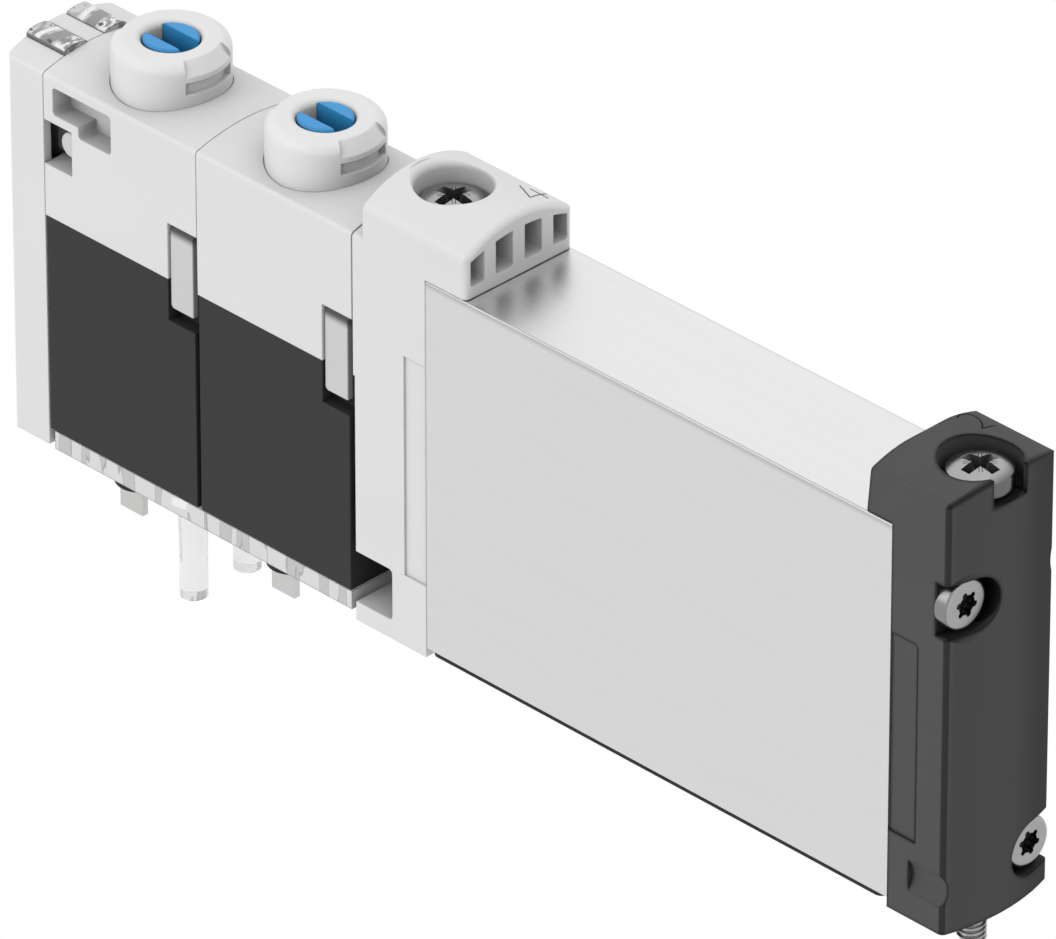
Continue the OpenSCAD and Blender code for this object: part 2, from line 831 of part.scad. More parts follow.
module cap_shell() {
    low = -foot_drop;
    intersection() {
        along_x(body_x1 - cap_overhang, cap_x1)
            crowned(body_w, low, cap_apex, cap_crown, cap_edge_r);
        translate([0, 0, low])
            linear_extrude(cap_apex - low + cut)
                rotate(-90)
                    crowned(body_w, body_x1 - cap_overhang, cap_x1, cap_bow, cap_corner_r);
        along_y(-body_w, body_w) {
            translate([body_x1, low])
                square([cap_len, cap_apex - low]);
            translate([body_x1 + eps, 0])
                mirror([1, 0])
                    translate([0, body_h + seam])
                        overhang_outline(cap_overhang + eps, cap_apex - body_h - seam, cap_edge_r, 0.09);
        }
    }
}

// Pocket round a screw head in the end face, open to the side that dir points to
module head_pocket(y, z, dir) {
    rod_x([pocket_floor_x, y, z], 2 * pocket_r, pocket_depth + cut);
    y_far = dir * (half_w + cut);
    block([pocket_floor_x, min(y, y_far), z - pocket_r],
          [cap_x1 + cut, max(y, y_far), z + pocket_r]);
}

// Round hollow in a side face that clears the neighbour's screw head
module side_scoop(z, dir) {
    r = (scoop_h * scoop_h / 4 + scoop_depth * scoop_depth) / (2 * scoop_depth);
    rod_x([body_x1 + scoop_x, dir * (half_w + r - scoop_depth), z], 2 * r, cap_len);
}
scoop_x = 1.9;
scoop_shift = 0.2;
pocket_shift = 0.4;

// Outline of the lip over the body: its face leans back by lean for each
// millimetre of height and turns into the top through the radius r
module overhang_outline(length, height, r, lean) {
    top = length - lean * height;
    union() {
        polygon([[0, 0], [length, 0], [top + lean * r, height - r], [0, height - r]]);
        square([top - r, height]);
        translate([top - r + lean * r / 2, height - r])
            circle(r, $fn = 48);
    }
}

module end_cap() {
    seat = cap_head_top - screw_head_h;
    color("dimgray")
    difference() {
        cap_shell();
        rod_z([cap_screw, 0, seat], cap_well_d, cap_apex);
        rod_z([cap_screw, 0, -foot_drop - cut], screw_d + 2 * shank_clear, seat + foot_drop + 2 * cut);
        block([cap_screw, -cap_slot_w / 2, cap_slot_z], [cap_x1 + cut, cap_slot_w / 2, cap_apex + cut]);
        head_pocket(-fix_y + pocket_shift, fix_top_z, -1);
        head_pocket(fix_y - pocket_shift, fix_low_z, 1);
        for (p = cap_fixings())
            rod_x([body_x1 - cut, p[0], p[1]], fix_d + 2 * shank_clear, cap_len);
        side_scoop(fix_low_z - scoop_shift, -1);
        side_scoop(fix_top_z, 1);
        side_panels(body_x1 - cut, body_x1 + cap_panel_len, cap_panel_low, cap_panel_top);
        gasket_plate(body_x1 - cut, flat_gasket_t + cut);
        // Pilot air comes over from the body and goes down to the far piston
        for (z = [air_z, piston_feed_z])
            rod_x([body_x1 - cut, -air_y, z], pilot_d, cut + 1);
        rod_z([body_x1 + 1, -air_y, piston_feed_z], pilot_d, air_z - piston_feed_z);
    }
}

// Pan-head screw with a cross recess, its head's top at the height top
module mounting_screw(x, top) {
    seat = top - screw_head_h;
    thread_top = -foot_drop - thread_gap;
    big = (pow(screw_head_d / 2, 2) + screw_dome_h * screw_dome_h) / (2 * screw_dome_h);
    translate([x, 0, 0])
        difference() {
            union() {
                rod_z([0, 0, -screw_reach + 0.3], screw_d, screw_reach - 0.3 + thread_top);
                rod_z([0, 0, thread_top - eps], screw_d - 0.2, seat - thread_top + 2 * eps);
                translate([0, 0, -screw_reach])
                    cylinder(d1 = screw_d - 0.5, d2 = screw_d, h = 0.3);
                rotate_extrude(convexity = 4)
                    intersection() {
                        translate([0, seat])
                            square([screw_head_d / 2, screw_head_h + cut]);
                        translate([0, top - big])
                            circle(big, $fn = 160);
                    }
            }
            for (a = [0, 90])
                rotate(a)
                    along_y(-cross_w / 2, cross_w / 2)
                        polygon([[-cross_len / 2, top + cut], [-cross_len / 2, top - 0.1], [-0.45, top - 1.3],
                                 [0.45, top - 1.3], [cross_len / 2, top - 0.1], [cross_len / 2, top + cut]]);
        }
}
cross_w = 0.62;
cross_len = 2.7;

module cover_mounting_screw() {
    color("silver")
    mounting_screw(cover_screw, cover_head_top);
}

module cap_mounting_screw() {
    color("silver")
    mounting_screw(cap_screw, cap_head_top);
}

// White end housing: a crowned shell that holds the light guides' risers
module end_housing() {
    color("whitesmoke")
    difference() {
        intersection() {
            along_x(end_x0, end_x1 - seam)
                crowned(body_w, end_z, pilot_apex, pilot_crown, pilot_edge_r);
            translate([0, 0, end_z - cut])
                linear_extrude(pilot_apex + 2 * cut)
                    mirror([1, 0])
                        rotate(-90)
                            crowned(body_w, -end_x1, -end_x0, end_bow, 0.5);
        }
        block([end_x0 + end_wall + end_bow, -half_w + end_wall, joint_z],
              [end_x1 + cut, half_w - end_wall, pilot_apex - lens_depth - end_wall]);
        block([end_x1 - 2.2, -half_w + end_wall, guide_z],
              [end_x1 + cut, half_w - end_wall, joint_z + eps]);
        riser_space(guide_clear);
        // Room for the clear plate's left end
        block([guide_x0 - guide_clear, -half_w + end_wall, end_z - cut],
              [end_x1 + cut, half_w - end_wall, guide_z + guide_t + guide_clear]);
    }
}

module riser_space(clear) {
    for (side = [-1, 1]) {
        y = side * lens_y;
        block([guide_x0 - clear, y - riser_w / 2 - clear, guide_z],
              [riser_x1 + clear, y + riser_w / 2 + clear, pilot_apex + cut]);
        block([end_x0 - cut, y - lens_w / 2 - clear, pilot_apex - lens_depth - clear],
              [end_x1 + cut, y + lens_w / 2 + clear, pilot_apex + cut]);
    }
}
lens_depth = 1.3;

// Clear light guide: a plate under the coil blocks with a pin down to the
// sub-base, and a riser up to a lens in the top of the end housing
module light_guide(side) {
    y_in = side * guide_split;
    y_out = side * half_w;
    difference() {
        union() {
            block([end_x1 + 0.5, min(y_in, y_out), guide_z],
                  [guide_x1, max(y_in, y_out), guide_z + guide_t]);
            block([guide_x0, min(y_in, side * (half_w - end_wall - guide_clear)), guide_z],
                  [end_x1 + 0.5 + eps, max(y_in, side * (half_w - end_wall - guide_clear)), guide_z + guide_t]);
        }
        for (n = [1, 2])
            rod_z([pilot_x0(n) + blade_x, side * boot_y, -cut], boot_d + 2 * boot_clear, coil_z + 2 * cut);
    }
    translate([0, side * lens_y, 0]) {
        block([guide_x0, -riser_w / 2, guide_z], [riser_x1, riser_w / 2, pilot_apex - lens_depth + eps]);
        lens();
    }
    translate([light_pin_at, side * light_pin_y, 0]) {
        rod_z([0, 0, -light_pin_reach], light_pin_d, pin_cyl + eps);
        translate([0, 0, -light_pin_reach + pin_cyl])
            cylinder(d1 = light_pin_d, d2 = light_pin_root_d, h = light_pin_reach - pin_cyl + guide_z + eps);
    }
}

// Lens head: a bar along X with a rounded top, over the housing's whole length
module lens() {
    along_x(end_x0 + 0.1, end_x1 - seam)
        crowned(lens_w, pilot_apex - lens_depth, pilot_apex + lens_proud, 0.15, 0.4);
}

module light_guide_front() {
    color("lightcyan")
    light_guide(-1);
}

module light_guide_back() {
    color("lightcyan")
    light_guide(1);
}

// White housing of a pilot valve, above its coil block
module pilot_housing(n) {
    x0 = pilot_x0(n);
    x1 = x0 + pilot_pitch;
    a = axis_at(n);
    difference() {
        along_x(x0, x1 - seam)
            crowned(body_w, joint_z, pilot_apex, pilot_crown, pilot_edge_r);
        rod_z([a, 0, dome_seat], dome_d + 2 * dome_clear, pilot_apex);
        rod_z([a, 0, wall_top], spring_well_d, dome_seat - wall_top + eps);
        rod_z([a, 0, joint_z - cut], chamber_d, wall_low - joint_z + cut);
        rod_z([a, 0, wall_low - cut], nozzle_d, wall_top - wall_low + cut - 0.6);
        for (side = [-1, 1])
            block([a + side * leg_x - leg_t / 2 - leg_clear, -leg_w / 2 - leg_clear, wall_low - cut],
                  [a + side * leg_x + leg_t / 2 + leg_clear, leg_w / 2 + leg_clear, wall_top + cut]);
        // Supply to the nozzle, and on to the first pilot
        rod_y([a, 0, air_z], pilot_d, air_y);
        channel(n == 1 ? a : x0 - cut, x1 + cut, air_y, air_z);
        // Outlet of the first pilot, through both housings
        if (n == 1)
            rod_z([a, -air_y - 0.6, wall_low - cut], pilot_d, air_z - wall_low + cut);
        channel(n == 1 ? a - pilot_d / 2 : x0 - cut, x1 + cut, -air_y, air_z);
        if (n == 2)
            rod_x([a, out_y, out_z], pilot_d - 0.1, x1 - a + cut);
        clip_pockets(x0, joint_z - cut);
        pilot_gasket_plate(x1 - seam - flat_gasket_t, flat_gasket_t + cut);
        if (n == 1)
            side_openings(x0, a);
    }
}
dome_clear = 0.04;

module channel(x0, x1, y, z) {
    rod_x([x0, y, z], pilot_d, x1 - x0);
}

// Stepped pocket and small window in the first pilot's front face
module side_openings(x0, a) {
    step_x = x0 + pocket_x + pocket_step_x;
    end_x = x0 + pocket_x + pocket_len;
    along_y(-half_w - cut, -half_w + pocket_deep)
        intersection() {
            rounded([x0 + pocket_x, pocket_low], [end_x, pocket_high], 0.3);
            union() {
                rounded([x0 + pocket_x, pocket_step_z], [end_x, pocket_high], 0.3);
                rounded([step_x, pocket_low], [end_x, pocket_high], 0.3);
            }
        }
    block([x0 - cut, -half_w - cut, hatch_low], [x0 + hatch_len, -half_w + hatch_deep, hatch_high]);
}
pocket_x = 0.9;
pocket_len = 5.7;
pocket_step_x = 2.5;
pocket_low = pilot_apex - 4.5;
pocket_step_z = pilot_apex - 3.65;
pocket_high = pilot_apex - 1.5;
pocket_deep = 1.7;
hatch_len = 2.72;
hatch_low = joint_z + 4.1;
hatch_high = joint_z + 7.57;
hatch_deep = 3;

// Pockets for the retaining clip, in both side faces, and the tunnel between
module clip_pockets(x0, low) {
    for (side = [-1, 1])
        along_y(side > 0 ? half_w - clip_leg - clip_sink : -half_w - cut,
                side > 0 ? half_w + cut : -half_w + clip_leg + clip_sink)
            translate([x0 + clip_x, low])
                square([clip_pocket_w + cut, clip_pocket_top - low]);
    block([x0 + clip_x + 1, -half_w, clip_bar_z - 0.1],
          [x0 + pilot_pitch + cut, half_w, clip_bar_top + 0.1]);
}
clip_bar_z = 19.6;
clip_bar_top = 21;

module retaining_clip(n) {
    x0 = pilot_x0(n) + clip_x + clip_clear;
    face = half_w - clip_sink;
    for (side = [-1, 1])
        intersection() {
            along_y(side > 0 ? face - clip_leg : -face, side > 0 ? face : -face + clip_leg)
                rounded([x0, clip_z], [x0 + clip_w, clip_top], 0.3);
            along_x(x0 - cut, x0 + clip_w + cut)
                polygon([[0, clip_z - cut], [side * face, clip_z - cut], [side * face, clip_top - 1.6 * clip_chamfer],
                         [side * (face - clip_chamfer), clip_top], [0, clip_top]]);
            translate([x0, 0, clip_z])
                linear_extrude(clip_top - clip_z)
                    polygon([[0, 0], [0, side * face], [clip_w - clip_chamfer, side * face],
                             [clip_w, side * (face - clip_chamfer)], [clip_w, 0]]);
        }
    block([x0 + 1, -face + clip_sink, clip_bar_z], [x0 + clip_w - 0.25, face - clip_sink, clip_bar_top]);
}

pilot_gasket_edge = 0.2;
pilot_gasket_below = 0.8;
pilot_gasket_above = 1.2;
pilot_gasket_corner = 0.6;

// Flat gasket at the right face of a pilot housing
module pilot_gasket_plate(x0, t) {
    y = half_w - coil_pocket - pilot_gasket_edge;
    along_x(x0, x0 + t)
        rounded([-y, out_z - pilot_gasket_below], [y, air_z + pilot_gasket_above], pilot_gasket_corner);
}

module pilot_gasket(n) {
    x0 = pilot_x0(n) + pilot_pitch - seam - flat_gasket_t;
    difference() {
        pilot_gasket_plate(x0, flat_gasket_t);
        for (side = [-1, 1])
            rod_x([x0 - cut, side * air_y, air_z], pilot_d, 2 * cut);
        if (n == 2)
            rod_x([x0 - cut, out_y, out_z], pilot_d - 0.1, 2 * cut);
    }
}

// Black moulded block round the coil
module coil_block(n) {
    x0 = pilot_x0(n) + 0.12;
    x1 = pilot_x0(n) + coil_len;
    a = axis_at(n);
    difference() {
        block([x0, -half_w, coil_z], [x1, half_w, joint_z]);
        block([a - yoke_half - cavity_clear, -yoke_w / 2 - cavity_clear, yoke_z],
              [a + yoke_half + cavity_clear, yoke_w / 2 + cavity_clear, joint_z + cut]);
        rod_z([a, 0, bobbin_z], bobbin_d + 2 * cavity_clear, joint_z);
        clip_pocket_low(n);
        for (side = [-1, 1])
            block([pilot_x0(n) + blade_x - blade_w / 2, side * blade_y - blade_t / 2, coil_z - cut],
                  [pilot_x0(n) + blade_x + blade_w / 2, side * blade_y + blade_t / 2, blade_top]);
    }
}

module clip_pocket_low(n) {
    for (side = [-1, 1])
        along_y(side > 0 ? half_w - coil_pocket : -half_w - cut, side > 0 ? half_w + cut : -half_w + coil_pocket)
            translate([pilot_x0(n) + clip_x, clip_pocket_z])
                square([clip_pocket_w + cut, joint_z]);
}
coil_pocket = clip_leg + clip_sink;

module bobbin(n) {
    translate([axis_at(n), 0, 0])
        difference() {
            union() {
                rod_z([0, 0, bobbin_z], bobbin_d, bobbin_flange);
                rod_z([0, 0, bobbin_top - bobbin_flange], bobbin_d, bobbin_flange);
                rod_z([0, 0, bobbin_z], tube_d + 2 * tube_wall, bobbin_top - bobbin_z);
            }
            rod_z([0, 0, bobbin_z - cut], tube_d, bobbin_top - bobbin_z + 2 * cut);
        }
}

module winding(n) {
    low = bobbin_z + bobbin_flange;
    translate([axis_at(n), 0, 0])
        difference() {
            rod_z([0, 0, low], winding_d, bobbin_top - bobbin_flange - low);
            rod_z([0, 0, low - cut], tube_d + 2 * tube_wall, bobbin_top);
        }
}

// Steel frame that closes the magnetic circuit round the coil
module yoke(n) {
    translate([axis_at(n), 0, 0])
        difference() {
            block([-yoke_half, -yoke_w / 2, yoke_z], [yoke_half, yoke_w / 2, yoke_top]);
            block([-yoke_half + yoke_t, -yoke_w, bobbin_z], [yoke_half - yoke_t, yoke_w, bobbin_top]);
            rod_z([0, 0, bobbin_top - cut], tube_d + 2 * wire_clear, yoke_t + 2 * cut);
            rod_z([0, 0, yoke_z - cut], armature_d, yoke_t + 2 * cut);
        }
}

module fixed_core(n) {
    rod_z([axis_at(n), 0, yoke_z], armature_d, core_top - yoke_z);
}

module contact_blades(n) {
    for (side = [-1, 1])
        block([pilot_x0(n) + blade_x - blade_w / 2, side * blade_y - blade_t / 2, -blade_reach],
              [pilot_x0(n) + blade_x + blade_w / 2, side * blade_y + blade_t / 2, blade_top]);
}
blade_top = yoke_z + 0.6;

module contact_seals(n) {
    for (side = [-1, 1])
        difference() {
            rod_z([pilot_x0(n) + blade_x, side * boot_y, -boot_reach], boot_d, coil_z + boot_reach);
            block([pilot_x0(n) + blade_x - blade_w / 2, side * blade_y - blade_t / 2, -boot_reach - cut],
                  [pilot_x0(n) + blade_x + blade_w / 2, side * blade_y + blade_t / 2, coil_z + cut]);
        }
}

module nozzle(n) {
    translate([axis_at(n), 0, 0])
        difference() {
            rotate_extrude()
                polygon([[0, wall_top - 0.6], [nozzle_d / 2, wall_top - 0.6], [nozzle_d / 2, wall_low],
                         [0.5, nozzle_foot], [0, nozzle_foot]]);
            rod_z([0, 0, nozzle_foot - cut], 0.5, air_z - nozzle_foot + cut);
            rod_y([0, 0, air_z], 0.5, nozzle_d);
        }
}

module armature(n) {
    foot = core_top + core_gap;
    translate([axis_at(n), 0, 0])
        difference() {
            union() {
                rod_z([0, 0, foot], armature_d, collar_z - foot);
                rod_z([0, 0, collar_z - collar_t], collar_d, collar_t);
            }
            rod_z([0, 0, collar_z + pad_proud - pad_t], pad_d, pad_t + cut);
        }
}

module armature_pad(n) {
    rod_z([axis_at(n), 0, collar_z + pad_proud - pad_t], pad_d, pad_t);
}

module armature_spring(n) {
    wire = 0.3;
    translate([axis_at(n), 0, 0])
        coil_spring(armature_d / 2 + wire, wire, yoke_top + touch, collar_z - collar_t - touch, 4);
}

// White dome round the override button, pressed into the housing's top
module override_dome(n) {
    rim = dome_d / 2;
    hole = button_d / 2 + running;
    translate([axis_at(n), 0, 0])
        difference() {
            rotate_extrude()
                difference() {
                    union() {
                        translate([0, dome_seat])
                            square([rim, dome_top - dome_edge_r - dome_seat]);
                        translate([0, dome_seat])
                            square([rim - dome_edge_r, dome_top - dome_seat]);
                        translate([rim - dome_edge_r, dome_top - dome_edge_r])
                            circle(dome_edge_r, $fn = 64);
                    }
                    translate([0, dome_seat - cut])
                        square([hole, dome_top]);
                    translate([0, dome_seat - cut])
                        square([flange_d / 2 + 0.2, ledge_z - dome_seat + cut]);
                    difference() {
                        translate([0, dome_top - dome_mouth_r])
                            square([hole + dome_mouth_r, dome_mouth_r + cut]);
                        translate([hole + dome_mouth_r, dome_top - dome_mouth_r])
                            circle(dome_mouth_r, $fn = 48);
                    }
                }
            for (turn = [0, 180])
                rotate(turn)
                    dome_grip();
        }
}

// Grip hollow that leans in towards the top, and the slot under it
module dome_grip() {
    rim = dome_d / 2;
    lean = grip_depth / (dome_top - grip_low);
    rotate(-grip_half)
        rotate_extrude(angle = 2 * grip_half) {
            polygon([[rim + 0.1 * lean, grip_low - 0.1], [rim + cut, grip_low - 0.1], [rim + cut, dome_top + cut],
                     [rim - lean * (dome_top + cut - grip_low), dome_top + cut]]);
            translate([rim - slot_sink, slot_low])
                square([slot_sink + cut, slot_top - slot_low]);
        }
}
grip_half = 30;
grip_depth = 0.7;
grip_low = dome_top - 1.05;
slot_sink = 0.42;
slot_low = dome_top - 2.38;
slot_top = dome_top - 1.47;

module override_plunger(n) {
    translate([axis_at(n), 0, 0]) {
        rod_z([0, 0, flange_top - flange_t], flange_d, flange_t);
        rod_z([0, 0, flange_top - eps], spigot_d, spigot_h);
        for (side = [-1, 1])
            block([side * leg_x - leg_t / 2, -leg_w / 2, leg_foot],
                  [side * leg_x + leg_t / 2, leg_w / 2, flange_top - flange_t + eps]);
    }
}

module override_spring(n) {
    wire = 0.35;
    translate([axis_at(n), 0, 0])
        coil_spring(leg_x + leg_t / 2 + wire, wire, wall_top + touch, flange_top - flange_t - touch, 3);
}

// Blue button with a wide screwdriver slot
module override_button(n) {
    low = flange_top;
    r = button_d / 2;
    translate([axis_at(n), 0, 0])
        difference() {
            union() {
                rod_z([0, 0, low], button_d, button_top - low - 0.15);
                translate([0, 0, button_top - 0.15])
                    cylinder(r1 = r, r2 = r - 0.15, h = 0.15);
            }
            block([-button_d, -slot_w / 2, button_top - slot_depth], [button_d, slot_w / 2, button_top + cut]);
            rod_z([0, 0, low - cut], spigot_d + 2 * running, spigot_h + running + cut);
        }
}

module pilot_housing_1() { color("whitesmoke") pilot_housing(1); }
module pilot_housing_2() { color("whitesmoke") pilot_housing(2); }
module pilot_gasket_1() { color("dimgray") pilot_gasket(1); }
module pilot_gasket_2() { color("dimgray") pilot_gasket(2); }
module coil_block_1() { color("dimgray") coil_block(1); }
module coil_block_2() { color("dimgray") coil_block(2); }
module bobbin_1() { color("ivory") bobbin(1); }
module bobbin_2() { color("ivory") bobbin(2); }
module winding_1() { color("peru") winding(1); }
module winding_2() { color("peru") winding(2); }
module yoke_1() { color("lightslategray") yoke(1); }
module yoke_2() { color("lightslategray") yoke(2); }
module fixed_core_1() { color("slategray") fixed_core(1); }
module fixed_core_2() { color("slategray") fixed_core(2); }
module contact_blades_1() { color("lightgray") contact_blades(1); }
module contact_blades_2() { color("lightgray") contact_blades(2); }
module contact_seals_1() { color("black") contact_seals(1); }
module contact_seals_2() { color("black") contact_seals(2); }
module nozzle_1() { color("goldenrod") nozzle(1); }
module nozzle_2() { color("goldenrod") nozzle(2); }
module armature_1() { color("slategray") armature(1); }
module armature_2() { color("slategray") armature(2); }
module armature_pad_1() { color("black") armature_pad(1); }
module armature_pad_2() { color("black") armature_pad(2); }
module armature_spring_1() { color("silver") armature_spring(1); }
module armature_spring_2() { color("silver") armature_spring(2); }
module override_dome_1() { color("white") override_dome(1); }
module override_dome_2() { color("white") override_dome(2); }
module override_plunger_1() { color("ivory") override_plunger(1); }
module override_plunger_2() { color("ivory") override_plunger(2); }
module override_spring_1() { color("silver") override_spring(1); }
module override_spring_2() { color("silver") override_spring(2); }
module override_button_1() { color("dodgerblue") override_button(1); }
module override_button_2() { color("dodgerblue") override_button(2); }
module retaining_clip_1() { color("lightgray") retaining_clip(1); }
module retaining_clip_2() { color("lightgray") retaining_clip(2); }

valve_body();
base_gasket();
spool();
spool_seals();
piston_14();
piston_12();
piston_seals();
cover();
cover_gasket();
cover_fixing_screws();
end_cap();
cap_gasket();
cap_fixing_screws();
cover_mounting_screw();
cap_mounting_screw();
end_housing();
light_guide_front();
light_guide_back();
pilot_housing_1();
pilot_housing_2();
pilot_gasket_1();
pilot_gasket_2();
coil_block_1();
coil_block_2();
bobbin_1();
bobbin_2();
winding_1();
winding_2();
yoke_1();
yoke_2();
fixed_core_1();
fixed_core_2();
contact_blades_1();
contact_blades_2();
contact_seals_1();
contact_seals_2();
nozzle_1();
nozzle_2();
armature_1();
armature_2();
armature_pad_1();
armature_pad_2();
armature_spring_1();
armature_spring_2();
override_dome_1();
override_dome_2();
override_plunger_1();
override_plunger_2();
override_spring_1();
override_spring_2();
override_button_1();
override_button_2();
retaining_clip_1();
retaining_clip_2();
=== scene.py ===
# %% [markdown]
# # A slim air valve with two pilot solenoids
# The valve switches compressed air. Its bright body holds the spool, the two white and
# black blocks on the left are the solenoid pilots, and two screws fix it to a sub-base.
# Its shape could be modelled here from nothing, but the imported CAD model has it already,
# with every joint in place. So that is loaded first and never changed, and every finish
# and every finer piece below is made around it, in metres.

# %% Load the fixed frame
import bpy
import math
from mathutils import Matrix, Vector


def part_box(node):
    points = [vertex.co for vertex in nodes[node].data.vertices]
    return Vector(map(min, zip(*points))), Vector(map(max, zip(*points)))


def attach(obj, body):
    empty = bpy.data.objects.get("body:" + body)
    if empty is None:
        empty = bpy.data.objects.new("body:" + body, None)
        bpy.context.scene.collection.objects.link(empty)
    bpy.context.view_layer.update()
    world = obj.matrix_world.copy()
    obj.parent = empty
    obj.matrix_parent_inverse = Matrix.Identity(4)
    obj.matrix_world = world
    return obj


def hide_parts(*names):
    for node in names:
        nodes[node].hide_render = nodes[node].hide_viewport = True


MM = 0.001
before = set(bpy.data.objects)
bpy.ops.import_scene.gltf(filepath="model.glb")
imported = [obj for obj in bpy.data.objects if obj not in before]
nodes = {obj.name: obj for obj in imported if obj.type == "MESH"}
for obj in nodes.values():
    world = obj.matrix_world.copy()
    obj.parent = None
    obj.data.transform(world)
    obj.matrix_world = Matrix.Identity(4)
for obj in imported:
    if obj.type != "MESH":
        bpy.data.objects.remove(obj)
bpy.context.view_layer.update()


def box_mm(node):
    """The low and the high corner of a CAD node's box, in millimetres."""
    return [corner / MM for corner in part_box(node)]


# %% [markdown]
# The product picture was taken with a very long lens, from 45 degrees to the right and
# 32 degrees above. An orthographic camera would come close, but a long lens also keeps
# the slight narrowing towards the back. The camera stands one metre away and looks back
# along this direction.

# %% Camera
azimuth, elevation = math.radians(45.075), math.radians(31.788)
aim, distance = Vector((-17.171, 0, 14.28)) * MM, 1.00236
back = Vector((math.sin(azimuth) * math.cos(elevation),
               -math.cos(azimuth) * math.cos(elevation), math.sin(elevation)))
bpy.ops.object.camera_add(location=aim + back * distance)
camera = bpy.context.object
camera.rotation_euler = (-back).to_track_quat("-Z", "Y").to_euler()
camera.data.sensor_fit = "HORIZONTAL"
camera.data.sensor_width = 36
camera.data.lens = 511.25
camera.data.clip_start, camera.data.clip_end = 0.1, 20
bpy.context.scene.camera = camera
print("lens", camera.data.lens, "mm")

# %% [markdown]
# A material could be put together node by node in the editor. Written as code it is
# shorter and easier to change. `Maths` wraps a shader socket, so that an expression such
# as `0.4 + grain * 0.1` adds the Math nodes it needs, and the `node` method of `Shading`
# adds any other node.

# %% Sums and nodes
class Maths:
    def __init__(self, shading, socket):
        self.shading, self.socket = shading, socket

    def _with(self, operation, first, second):
        return self.shading.node("ShaderNodeMath", {"operation": operation},
                                 {0: first, 1: second})

    def __add__(self, other):
        return self._with("ADD", self, other)

    __radd__ = __add__

    def __mul__(self, other):
        return self._with("MULTIPLY", self, other)

    __rmul__ = __mul__

    def __sub__(self, other):
        return self._with("SUBTRACT", self, other)

    def __rsub__(self, other):
        return self._with("SUBTRACT", other, self)

    def __gt__(self, other):
        return self._with("GREATER_THAN", self, other)


class Shading:
    def __init__(self, tree):
        self.tree = tree

    def node(self, kind, settings, inputs, output=0):
        """Add a node: its settings first, then a value or a link for each socket."""
        made = self.tree.nodes.new(kind)
        for key, value in settings.items():
            setattr(made, key, value)
        for key, value in inputs.items():
            if isinstance(value, Maths):
                self.tree.links.new(value.socket, made.inputs[key])
            else:
                made.inputs[key].default_value = value
        return Maths(self, made.outputs[output])


# %% [markdown]
# Every finish of the valve starts from one main shader and is then varied: by noise, by
# the place on the piece, or near its edges. Image textures could do that too, but masks
# made from the place in millimetres stay sharp at any distance and need no unwrapping.

# %% Finish of a material
class Finish(Shading):
    def __init__(self, name, color, roughness, metallic=0.0, specular=0.5):
        self.material = bpy.data.materials.new(name)
        self.material.use_nodes = True
        super().__init__(self.material.node_tree)
        self.shader = self.tree.nodes["Principled BSDF"]
        self.set("Base Color", (*color, 1))
        self.set("Roughness", roughness)
        self.set("Metallic", metallic)
        self.set("Specular IOR Level", specular)
        self.place = self.node("ShaderNodeTexCoord", {}, {}, "Object")

    def set(self, name, value):
        if isinstance(value, Maths):
            self.tree.links.new(value.socket, self.shader.inputs[name])
        else:
            self.shader.inputs[name].default_value = value

    def along(self, axis):
        """The place along X, Y or Z (0, 1 or 2), in millimetres."""
        return self.node("ShaderNodeSeparateXYZ", {}, {0: self.place}, axis) * 1000

    def rise(self, value, start, end):
        """0 before start, 1 after end, and smooth between them."""
        return self.node("ShaderNodeMapRange", {"interpolation_type": "SMOOTHSTEP"},
                         {"Value": value, "From Min": start, "From Max": end})

    def band(self, value, start, end, soft=0.08):
        """1 between start and end, and 0 on both sides of them."""
        return self.rise(value, start - soft, start + soft) * (
            1 - self.rise(value, end - soft, end + soft))

    def size(self, value):
        return self.node("ShaderNodeMath", {"operation": "ABSOLUTE"}, {0: value})

    def edges(self, radius):
        """1 on a sharp edge and 0 at the radius: how far the Bevel node turns the normal."""
        turned = self.node("ShaderNodeBevel", {"samples": 6}, {"Radius": radius})
        flat = self.node("ShaderNodeNewGeometry", {}, {}, "Normal")
        alike = self.node("ShaderNodeVectorMath", {"operation": "DOT_PRODUCT"},
                          {0: turned, 1: flat}, "Value")
        return self.rise(1 - alike, 0.0, 0.16)

    def blend(self, factor, first, second, how="MIX"):
        """The first colour where the factor is 0, the second where it is 1."""
        first, second = (value if isinstance(value, Maths) else (*value, 1)
                         for value in (first, second))
        return self.node("ShaderNodeMix", {"data_type": "RGBA", "blend_type": how},
                         {0: factor, 6: first, 7: second}, 2)

    def darken(self, mask, share):
        """Bring the colour down to a share of itself where the mask is 1."""
        now = Maths(self, self.shader.inputs["Base Color"].links[0].from_socket)
        self.set("Base Color", self.blend(mask, now, (share, share, share), "MULTIPLY"))

    def stretched(self, scale):
        return self.node("ShaderNodeMapping", {}, {"Vector": self.place, "Scale": scale})

    def noise(self, scale, detail=2.0, place=None):
        return self.node("ShaderNodeTexNoise", {},
                         {"Vector": place or self.place, "Scale": scale, "Detail": detail})

    def bump(self, height, distance, strength=1.0, edge=0.0):
        """Fine relief, on normals that the Bevel node rounds at the edges."""
        inputs = {"Height": height, "Distance": distance, "Strength": strength}
        if edge:
            inputs["Normal"] = self.node("ShaderNodeBevel", {"samples": 6}, {"Radius": edge})
        self.set("Normal", self.node("ShaderNodeBump", {}, inputs))


# %% [markdown]
# Moulded plastic is never quite even. Its colour drifts by a percent or two, a very fine
# grain from the mould breaks the gloss, and every edge is slightly round. Bevelled meshes
# could round the edges, but the CAD meshes stay as they are. So the Bevel node does it,
# which only turns the normals near an edge.

